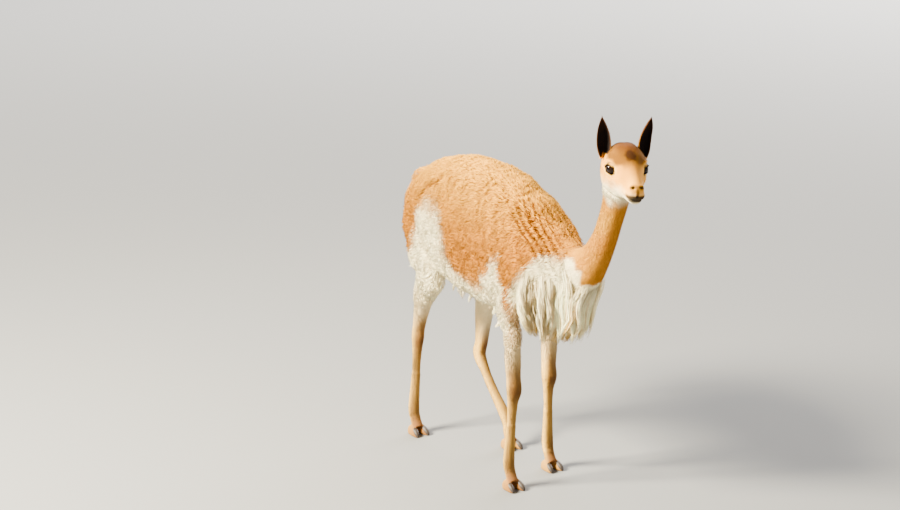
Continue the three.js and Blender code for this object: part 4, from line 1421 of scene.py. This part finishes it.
def near_neck(points):
    return ramp(beyond(points, NECK_ROOT), -150, -50) * (points[:, 0] > 200)


def fine_root(points):
    return coat_depth(points) * (0.56 - 0.34 * under_bib(points) + wool_relief(points))


def muzzle_or_toe(points):
    """1 on the muzzle and the toes, where the hair is shortest."""
    muzzle = head_share(points) * ramp(to_head(points)[:, 0], 30, 120)
    return np.maximum(muzzle, ramp(-points[:, 2], -70, -30))


def low_on_leg(points):
    return points[:, 2] < LEG_HAIR_TOP


def hair_half_width(points):
    size = 0.26 + 0.06 * coat_depth(points) + 0.1 * low_on_leg(points)
    return size * (1 - 0.35 * muzzle_or_toe(points))


def hair_length(points):
    length = 3.4 + 1.3 * coat_depth(points) + 2 * low_on_leg(points)
    return length * (1 - 0.55 * muzzle_or_toe(points))


def hair_lift(points):
    return 0.5 - 0.34 * low_on_leg(points)


def of_region(points):
    """The region of the coat that each point is in. The upper legs belong to the trunk."""
    x, _, z = points.T
    region = np.full(len(points), ON_TRUNK)
    region[(x > FORE_FROM) & (z < LEG_HAIR_TOP)] = ON_LEGS
    region[(x < HIND_TO) & (z < LEG_HAIR_TOP + 10)] = ON_LEGS
    region[(beyond(points, NECK_ROOT) > 0) & (x > NECK_FROM)] = ON_NECK
    region[(beyond(points, NECK_TOP) > 0) & (x > HEAD_FROM)] = ON_HEAD
    region[tail_share(points) > 0.5] = ON_TAIL
    region[ear_share(points) > 0.5] = ON_EARS
    return region


def region_share(region, low=-ENDLESS, high=ENDLESS, side=0):
    """Roots in one region, from one length along the body to another, on one side or both."""
    def share(points, _):
        x, y, z = points.T
        inside = (of_region(points) == region) & (x >= low) & (x < high)
        if side:
            on_skull = region in (ON_HEAD, ON_EARS)
            middle = to_head(points)[:, 1] if on_skull else y - 30 * (region == ON_NECK)
            inside &= (middle * side) > 0
        density = (FLEECE_DEPTH / coat_depth(points)) ** 0.6 if region == ON_TRUNK else 1.0
        return inside * density * (z > 4)

    return share


# Parts of the fleece, each from one length along the body to another
FLEECE_PARTS = {"rump": (-ENDLESS, -120), "flank": (-120, 110), "shoulder": (110, ENDLESS)}
STAPLES = {
    "length": fleece_length, "half": staple_half_width, "lift": staple_lift, "rows": 2,
    "finish": FLEECE_FINISH, "clump": 24, "pull": 0.4, "root_shade": 0.62,
}
FINE_WOOL = {
    "length": fine_length, "half": fine_half_width, "lift": fine_lift, "rows": 1,
    "finish": FLEECE_FINISH, "clump": 11, "pull": 0.45, "swirl": 0.35, "root_shade": 0.84,
    "raised_root": fine_root, "variety": 0.09, "gap_shade": 0.14, "jitter": 5.5,
}
PLAIN_HAIR = {"length": hair_length, "half": hair_half_width, "lift": hair_lift, "rows": 1}
FLAT_HAIR = {
    **PLAIN_HAIR, "finish": COAT_FINISH, "clump": 9, "pull": 0.25, "root_shade": 0.94,
    "tip_light": 1.04, "variety": 0.06, "flat": 0.3,
}
# The flat coat: region, from where to where along the body, spacing, axis, slot, seed, and how
# far its colour strays
FLAT_COAT = {
    "neck_hair": (ON_NECK, -ENDLESS, ENDLESS, 2.0, (0.5, 0, 0.85), "coat_fawn", 15, 0.6),
    "leg_hair_fore": (ON_LEGS, FORE_FROM, ENDLESS, 2.25, (0, 0, 1), "coat_fawn", 24, 0.6),
    "leg_hair_hind": (ON_LEGS, -ENDLESS, FORE_FROM, 2.25, (0, 0, 1), "coat_fawn", 24, 0.6),
    "head_hair": (ON_HEAD, -ENDLESS, ENDLESS, 1.42, (0.94, -0.3, -0.1), "head_coat", 25, 0),
    "ear_hair": (ON_EARS, -ENDLESS, ENDLESS, 1.5, (0, 0, 1), "ear_coat", 34, 0),
}


def lay_fleece(coat):
    seed = 100
    for part, (low, high) in FLEECE_PARTS.items():
        for name, side in SIDES.items():
            share = region_share(ON_TRUNK, low, high, side)
            for kind, spacing, step, make in (
                ("fleece", 9.5, 7, STAPLES), ("fine_wool", 2.5, 11, FINE_WOOL),
            ):
                piece = short_hair(
                    f"{kind}_{part}_{name}", coat, share, spacing, (1, 0, 0), seed * step, **make
                )
                finished(piece, "fleece")
            seed += 1


def lay_flat_coat(coat):
    for first_seed, (side_name, side) in zip((111, 148), SIDES.items()):
        for name, (region, low, high, spacing, axis, slot, seed, jitter) in FLAT_COAT.items():
            piece = short_hair(
                f"{name}_{side_name}", coat, region_share(region, low, high, side), spacing,
                axis, first_seed + seed, jitter=jitter, **FLAT_HAIR,
            )
            finished(piece, slot)


# Long locks


STRAND_TAPER = (0.35, 0.9, 1.0, 0.9, 0.6)


def lock_strands(name, guides, strands, spread, half, wave, axis, seed, shades=None,
                 tip_share=0.24, sunk=0.0):
    """Bundles of strands round guide lines, drawn together towards each tip.

    spread is a lock's half width, half a strand's, and wave how far it sways. sunk says for
    each lock how far its lower part is painted in the shade of those over it. Strands deep in a
    lock and at its sides are painted darker too, as shade between the locks.
    """
    def for_each_strand(values):
        return np.repeat(values, strands, axis=0)

    draw = np.random.default_rng(seed)
    count, steps = guides.shape[:2]
    rows = steps - 1
    lines = for_each_strand(guides)
    t = np.linspace(0, 1, steps)
    ahead = unit(lines[:, -1] - lines[:, 0])
    first = unit(np.cross(ahead, draw.normal(size=ahead.shape)))
    distance = spread * np.sqrt(draw.uniform(0, 1, len(lines)))
    closing = (0.35 + 0.65 * ramp(t, 0, 0.3)) * (1 - (1 - tip_share) * t**1.3)
    offset = (first * distance[:, None])[:, None] * closing[None, :, None]
    shared = 2.2 * drift(guides[:, 0], 230, (seed + 1, seed + 2))
    own_wave = for_each_strand(shared + draw.uniform(-0.6, 0.6, (count, 2)))
    turns = for_each_strand(draw.uniform(0.9, 1.4, (count, 1)))
    phase = own_wave + 0.22 * draw.normal(size=(len(lines), 2))
    swing = wave * for_each_strand(draw.uniform(0.5, 1.3, (count, 1))) * t[None] ** 0.9
    sway = np.sin(2 * math.pi * turns * t[None] + phase[:, :1]) * swing
    nod = np.sin(2 * math.pi * turns * t[None] * 1.3 + phase[:, 1:]) * swing * 0.4
    upward = unit((lines[:, 0] - lines[:, 0].mean(0)) * [1, 1, 0])
    across = unit(np.cross(ahead, upward))
    outward = unit(np.cross(across, ahead))
    bent = across[:, None] * sway[..., None] + outward[:, None] * nod[..., None]
    lines = lines + offset + bent - bent[:, :1]
    start = draw.uniform(0, 0.3, len(lines))[:, None]
    cut = draw.uniform(0.66, 1.0, len(lines))[:, None]
    places = np.minimum(start + (cut - start) * t[None], 0.999) * rows
    low = places.astype(int)
    share = (places - low)[..., None]
    index = np.arange(len(lines))[:, None]
    lines = lines[index, low] * (1 - share) + lines[index, low + 1] * share
    knots = np.linspace(0, 1, len(STRAND_TAPER))
    profile = np.interp(np.linspace(0, 1, rows), knots, STRAND_TAPER)
    widths = half * profile[None] * draw.uniform(0.7, 1.3, (len(lines), 1))
    colours = markings(lines[:, 0], upward) if shades is None else for_each_strand(shades)
    # Painted shade: strands deeper in a lock darker, and towards their ends the deep strands, the
    # strands at a lock's sides and the sunk locks darker still, in a warm tint.
    inner = np.einsum("ij,ij->i", first, upward) * distance / spread
    shade = for_each_strand(draw.normal(size=(count, 1)))
    shade = 1 + 0.05 * shade + 0.05 * draw.normal(size=(len(lines), 1)) + 0.14 * inner[:, None]
    inside = 0.3 * ramp(-inner, -0.1, 0.6) + for_each_strand(np.broadcast_to(sunk, count))
    beside = np.einsum("ij,ij->i", first, across) * distance / spread
    painted_lock_shade = (inside + 0.45 * beside**2)[:, None] * t[None] ** 1.2
    brighten = (0.9 + 0.18 * t[None] ** 0.6)[..., None] - painted_lock_shade[..., None] * [0.7, 1.0, 1.5]
    return hair_mesh(
        name, lines, np.cross(ahead, upward), upward, widths,
        (colours * shade)[:, None] * brighten, 0.5, LOCK_FINISH, unrolled(lines[:, 0], axis),
    )


def round_chest(points):
    """Each point's angle from the front and its reach, round the chest's upright axis."""
    x, y = points[:, 0] - BIB_ROOT_X, points[:, 1]
    return np.arctan2(y, x), np.hypot(x, y)


def bib_envelope(angle, z):
    """Radius of the bib's outer form from its upright axis, at each angle from the front."""
    middle, half_x, half_y = bib_at(np.maximum(z, 446))
    ahead = middle - BIB_ROOT_X
    p, q = np.cos(angle) / half_x, np.sin(angle) / half_y
    a, b, c = p**2 + q**2, -2 * p * ahead / half_x, (ahead / half_x) ** 2 - 1
    return (-b + np.sqrt(np.maximum(b * b - 4 * a * c, 0))) / (2 * a)


class Chest:
    """How far the hanging locks reach round the chest, by angle and height."""

    turn = math.radians(3)
    rise = 6.0
    lowest = 440
    angles = np.radians(np.arange(-129, 130, 3))
    heights = np.arange(lowest, 741, rise)

    def __init__(self, coat):
        _, y, z = coat.points.T
        angle, radius = round_chest(coat.points)
        of_chest = (z > 436) & (z < 744) & (np.abs(angle) < 2.27)
        of_chest &= radius < 150 + 110 * np.cos(angle)
        of_chest &= (z > 505) | (np.abs(y) < 56)
        skin_radius = np.zeros((len(self.angles), len(self.heights)))
        column = np.round((angle[of_chest] - self.angles[0]) / self.turn).astype(int)
        row = np.round((z[of_chest] - self.lowest) / self.rise).astype(int)
        column = column.clip(0, len(self.angles) - 1)
        row = row.clip(0, len(self.heights) - 1)
        np.maximum.at(skin_radius, (column, row), radius[of_chest])
        grid_angle, grid_z = np.meshgrid(self.angles, self.heights, indexing="ij")
        drawn_in_left = 1 - 0.15 * np.exp(-(((grid_angle - 0.9) / 0.6) ** 2))
        outer = np.maximum(skin_radius + 10, bib_envelope(grid_angle, grid_z) * drawn_in_left)
        for _ in range(3):
            wide = np.pad(outer, 1, mode="edge")
            beside = wide[:-2, 1:-1] + wide[2:, 1:-1] + wide[1:-1, :-2] + wide[1:-1, 2:]
            outer = (beside + 2 * outer) / 6
        self.outer = outer

    def reach(self, angle, z):
        """How far out the locks hang at each angle and height, read between the table's."""
        i = np.clip((angle - self.angles[0]) / self.turn, 0, len(self.angles) - 1.001)
        k = np.clip((z - self.lowest) / self.rise, 0, len(self.heights) - 1.001)
        a, c = i.astype(int), k.astype(int)
        u, v = i - a, k - c
        near = self.outer[a, c] * (1 - v) + self.outer[a, c + 1] * v
        far = self.outer[a + 1, c] * (1 - v) + self.outer[a + 1, c + 1] * v
        return near * (1 - u) + far * u


def bib_guides(chest, coat, spacing, seed, top, drop, widest, reach_out):
    """Lines that fall from the chest and the base of the neck, down over the bib's form."""
    def rooted(points, _):
        z = points[:, 2]
        angle = np.abs(round_chest(points)[0])
        inside = (z > top[0]) & (z < top[1]) & (angle < math.radians(widest))
        return inside * (bib_white(points) > 0.6)

    roots = coat.roots(rooted, spacing, seed)[0]
    draw = np.random.default_rng(seed)
    start = roots[:, 2]
    count = len(roots)
    angle, reach = round_chest(roots)
    reach = reach[:, None] - 1
    lowest = 441 + 46 * np.abs(np.sin(angle)) ** 3 + draw.uniform(0, 14, count)
    end = np.maximum(start - draw.uniform(*drop, count), lowest)
    t = np.linspace(0, 1, 6)[None]
    z = start[:, None] + (end - start)[:, None] * t
    sweep = 0.06 * draw.normal(size=(count, 1)) - 0.08 * angle[:, None]
    turned = angle[:, None] + sweep * t**1.5
    outer = chest.reach(turned, z) * draw.uniform(*reach_out, (count, 1))
    share = ramp(t, -0.12, 0.32)
    radius = reach * (1 - share) + np.maximum(outer, reach * (0.94 - 0.16 * t)) * share
    radius = np.minimum(radius, reach + 0.8 * (start[:, None] - z) + 1)
    return np.stack([BIB_ROOT_X + radius * np.cos(turned), radius * np.sin(turned), z], 2)


# Rows of locks: how far apart they are rooted, the heights they start from, how far they fall,
# how far round the chest, how far out they hang, strands in each, and how far sunk into shade
BIB_ROWS = {
    "bib_locks_under": [
        (23, (596, 700), (90, 170), 112, (0.84, 0.93), 32, 0.5),
        (29, (500, 596), (60, 110), 112, (0.8, 0.9), 32, 0.5),
    ],
    "bib_locks_outer": [
        (27, (630, 722), (140, 200), 112, (0.94, 1.02), 62, 0.02),
        (24, (600, 660), (110, 170), 32, (0.92, 1.0), 62, 0.02),
        (36, (540, 630), (90, 160), 112, (0.9, 0.99), 62, 0.12),
    ],
}


def lay_bib(coat):
    chest = Chest(coat)
    for seed, (name, rows) in enumerate(BIB_ROWS.items(), 3):
        guides, sunk = [], []
        for row_seed, (spacing, *falls, strands, shade) in enumerate(rows, seed * 9):
            guides.append(bib_guides(chest, coat, spacing, row_seed, *falls))
            sunk.append(np.full(len(guides[-1]), shade))
        guides, sunk = np.concatenate(guides), np.concatenate(sunk)
        shades = np.broadcast_to(WHITE, (len(guides), 3))
        piece = lock_strands(
            name, guides, strands, spread=14, half=0.92, wave=12, axis=(0, 0, 1), seed=seed + 4,
            shades=shades, tip_share=0.14, sunk=sunk,
        )
        finished(piece, "bib_wool")


def tail_guides(count, seed):
    """Lines that run down inside the tail's outer form."""
    draw = np.random.default_rng(seed)
    start = draw.uniform(0.25, 0.72, count)
    length = draw.uniform(0.24, 0.44, count)
    angle = draw.uniform(-math.pi, math.pi, count)
    t = np.linspace(0, 1, 6)
    share = np.minimum(start[:, None] + length[:, None] * t[None], 1.02)
    knots = np.linspace(0, 1, len(TAIL))
    x, y, z, thick, wide = (np.interp(share, knots, [s[k] for s in TAIL]) for k in range(5))
    out = (0.5 + 0.45 * ramp(t, 0, 0.45))[None]
    x = x + thick * np.cos(angle)[:, None] * out
    y = y + wide * np.sin(angle)[:, None] * out
    return np.stack([x, y, z], 2)


def lay_tail(coat):
    piece = lock_strands(
        "tail_locks", tail_guides(count=104, seed=21), strands=18, spread=11, half=1.0, wave=8,
        axis=(0, 0, 1), seed=22,
    )
    finished(piece, "fleece")
    piece = short_hair(
        "tail_hair", coat, region_share(ON_TAIL), spacing=2.4, axis=(0, 0, 1), seed=23,
        finish=FLEECE_FINISH, **PLAIN_HAIR,
    )
    finished(piece, "fleece")


# Height that no lock of the belly's fringe hangs below
FRINGE_END = 472


def lay_belly_fringe(coat):
    """Longer locks that hang from the lower edge of the fleece behind the forelegs."""
    def low_edge(points, _):
        x, _, z = points.T
        edge = np.interp(x, [-140, -60, 60, 190], [566, 548, 536, 548])
        return (of_region(points) == ON_TRUNK) * (x > -120) * (x < 200) * ramp(edge - z, 0, 25)

    points, normals = coat.roots(low_edge, spacing=25, seed=51)
    draw = np.random.default_rng(52)
    t = np.linspace(0, 1, 6)
    length = draw.uniform(24, 50, len(points))
    way = unit(0.6 * unit(normals) + np.array([-0.35, 0, -0.75]))
    drop = unit(np.array([-0.3, 0, -1.0]) + 0.15 * draw.normal(size=points.shape))
    first, last = (t - t * t / 2)[None, :, None], (t * t / 2)[None, :, None]
    bend = way[:, None] * first + drop[:, None] * last
    guides = points[:, None] + length[:, None, None] * bend
    guides[..., 2] = np.maximum(guides[..., 2], FRINGE_END)
    piece = lock_strands(
        "belly_fringe", guides, strands=15, spread=8, half=0.8, wave=4, axis=(1, 0, 0), seed=53
    )
    finished(piece, "bib_wool")


def lay_lashes():
    """Dark lashes along each upper lid."""
    draw = np.random.default_rng(71)
    lines, ways = [], []
    t = np.linspace(0, 1, 4)
    for side in SIDES.values():
        centre, facing, level, upright = eye_axes(side)
        for angle in np.radians(np.linspace(12, 168, 70)):
            px = (EYE_OPENING[0] + 1.2) * math.cos(angle)
            pz = (EYE_OPENING[1] * 0.96 + 1.2) * math.sin(angle)
            lift = math.sqrt(max(LID_BALL**2 - px**2 - pz**2, 16)) + 2.0
            root = centre + px * level + pz * upright + lift * facing
            out = unit(facing + 0.35 * px / 16 * level + 0.12 * draw.normal(size=3))
            droop = unit(out * 0.7 - upright * 0.75 + 0.35 * px / 16 * level)
            length = draw.uniform(3, 5.5)
            line = root + length * (out * (t - t * t / 2)[:, None] + droop * (t * t / 2)[:, None])
            lines.append(from_head(line))
            ways.append(HEAD_WAY @ level)
    lines, ways = np.array(lines), np.array(ways)
    shades = np.broadcast_to(DARK[None, None] * 0.7, (len(lines), 4, 3))
    piece = hair_mesh(
        "eyelashes", lines, ways, unit(lines[:, 0] - np.array(HEAD_AT)),
        np.full((len(lines), 3), 0.28), shades, 0.8, COAT_FINISH,
        unrolled(lines[:, 0], (1, 0, 0)),
    )
    finished(piece, "head_coat")


coat = Coat(skin)
paint(skin, markings(coat.points, coat.normals))
skin.data.materials.clear()
skin.data.materials.append(SKIN_FINISH)
pick(skin)
bpy.ops.object.shade_smooth()
LEG_NODES = [
    f"{end}_{side}_{part}" for end in ("fore", "hind") for side in SIDES for part in LEG_PARTS
]
finished(
    skin, "coat_fawn", "chest", "barrel", "rump", "tail", "neck", "head", "ear_right", "ear_left",
    *LEG_NODES,
)
lay_fleece(coat)
lay_flat_coat(coat)
lay_bib(coat)
lay_tail(coat)
lay_belly_fringe(coat)
lay_lashes()


# Floor, light and camera

# How pale the floor is near the animal and far off, and between which distances it changes: it is
# painted paler far off, as painted light where the lamps' light falls away.
FLOOR_TONES = {"From_Min": 2.5, "From_Max": 14, "To_Min": 0.17, "To_Max": 0.8}
# Lights: place to the camera's right, ahead of it and up, then size, power and colour
LIGHTS = {
    "key_light": ((-3.2, -1.0, 3.1), 1.2, 2080, (1.0, 0.915, 0.7)),
    "fill_light": ((3.0, -2.6, 1.8), 3.0, 50, (1.0, 0.98, 0.96)),
    "back_light": ((-1.0, 7.0, 6.0), 4.6, 1050, (1.0, 0.98, 0.95)),
    "far_light": ((4.5, 7.5, 4.0), 5.5, 1900, (1.0, 0.97, 0.93)),
}
LIGHTS_AIM_Z = 0.6
STUDIO_AIR = (0.97, 0.93, 0.85, 1)
STUDIO_AIR_STRENGTH = 0.5


def floor():
    pick_nothing()
    bpy.ops.mesh.primitive_plane_add(size=120, location=(0, 0, 0))
    plane = bpy.context.object
    plane.name = "studio_floor"
    material, nodes, links, shader = new_material("pale_floor", 0.9)
    where = add_node(nodes, "TexCoord")
    away = add_node(nodes, "VectorMath")
    away.operation = "LENGTH"
    links.new(where.outputs["Object"], away.inputs[0])
    # Painted light: the floor paler far off, where the lamps' light falls away.
    painted_far_light = add_node(nodes, "MapRange", **FLOOR_TONES)
    painted_far_light.interpolation_type = "SMOOTHSTEP"
    links.new(away.outputs["Value"], painted_far_light.inputs["Value"])
    links.new(painted_far_light.outputs["Result"], shader.inputs["Base Color"])
    plane.data.materials.append(material)


def soft_light(name, place, size, power, warmth):
    pick_nothing()
    bpy.ops.object.light_add(type="AREA", location=place)
    light = bpy.context.object
    light.name = name
    light.data.size = size
    light.data.energy = power
    light.data.color = warmth
    aim = Vector((0, 0, LIGHTS_AIM_Z)) - Vector(place)
    light.rotation_euler = aim.to_track_quat("-Z", "Y").to_euler()


def photo_camera():
    """The camera as the photograph was taken, and the ways to its right and level ahead."""
    round_z, rise = math.radians(CAMERA_ROUND), math.radians(CAMERA_ELEVATION)
    right = np.array([math.cos(round_z), math.sin(round_z), 0])
    level = np.array([-math.sin(round_z), math.cos(round_z), 0])
    forward = level * math.cos(rise) - np.array([0, 0, math.sin(rise)])
    up = np.cross(right, forward)
    target = np.array([0, 0, CAMERA_TARGET_Z]) + SHIFT
    at = target - forward * CAMERA_DISTANCE
    pick_nothing()
    bpy.ops.object.camera_add()
    camera = bpy.context.object
    camera.name = "photo_camera"
    turn = np.eye(4)
    turn[:3, 0], turn[:3, 1], turn[:3, 2], turn[:3, 3] = right, up, -forward, at
    camera.matrix_world = Matrix(turn.tolist())
    camera.data.sensor_width = SENSOR_WIDTH
    camera.data.lens = FOCAL_PIXELS / PICTURE[0] * SENSOR_WIDTH
    camera.data.shift_x = (PICTURE[0] / 2 - TARGET_PIXEL[0]) / PICTURE[0]
    camera.data.shift_y = (TARGET_PIXEL[1] - PICTURE[1] / 2) / PICTURE[0]
    bpy.context.scene.camera = camera
    return right, level


def studio():
    floor()
    right, level = photo_camera()
    for name, ((across, ahead, high), size, power, warmth) in LIGHTS.items():
        place = right * across + level * ahead + np.array([0, 0, high])
        soft_light(name, tuple(place), size, power, warmth)
    world = bpy.data.worlds.new("pale_studio")
    bpy.context.scene.world = world
    world.use_nodes = True
    background = world.node_tree.nodes["Background"]
    background.inputs["Color"].default_value = STUDIO_AIR
    background.inputs["Strength"].default_value = STUDIO_AIR_STRENGTH


studio()
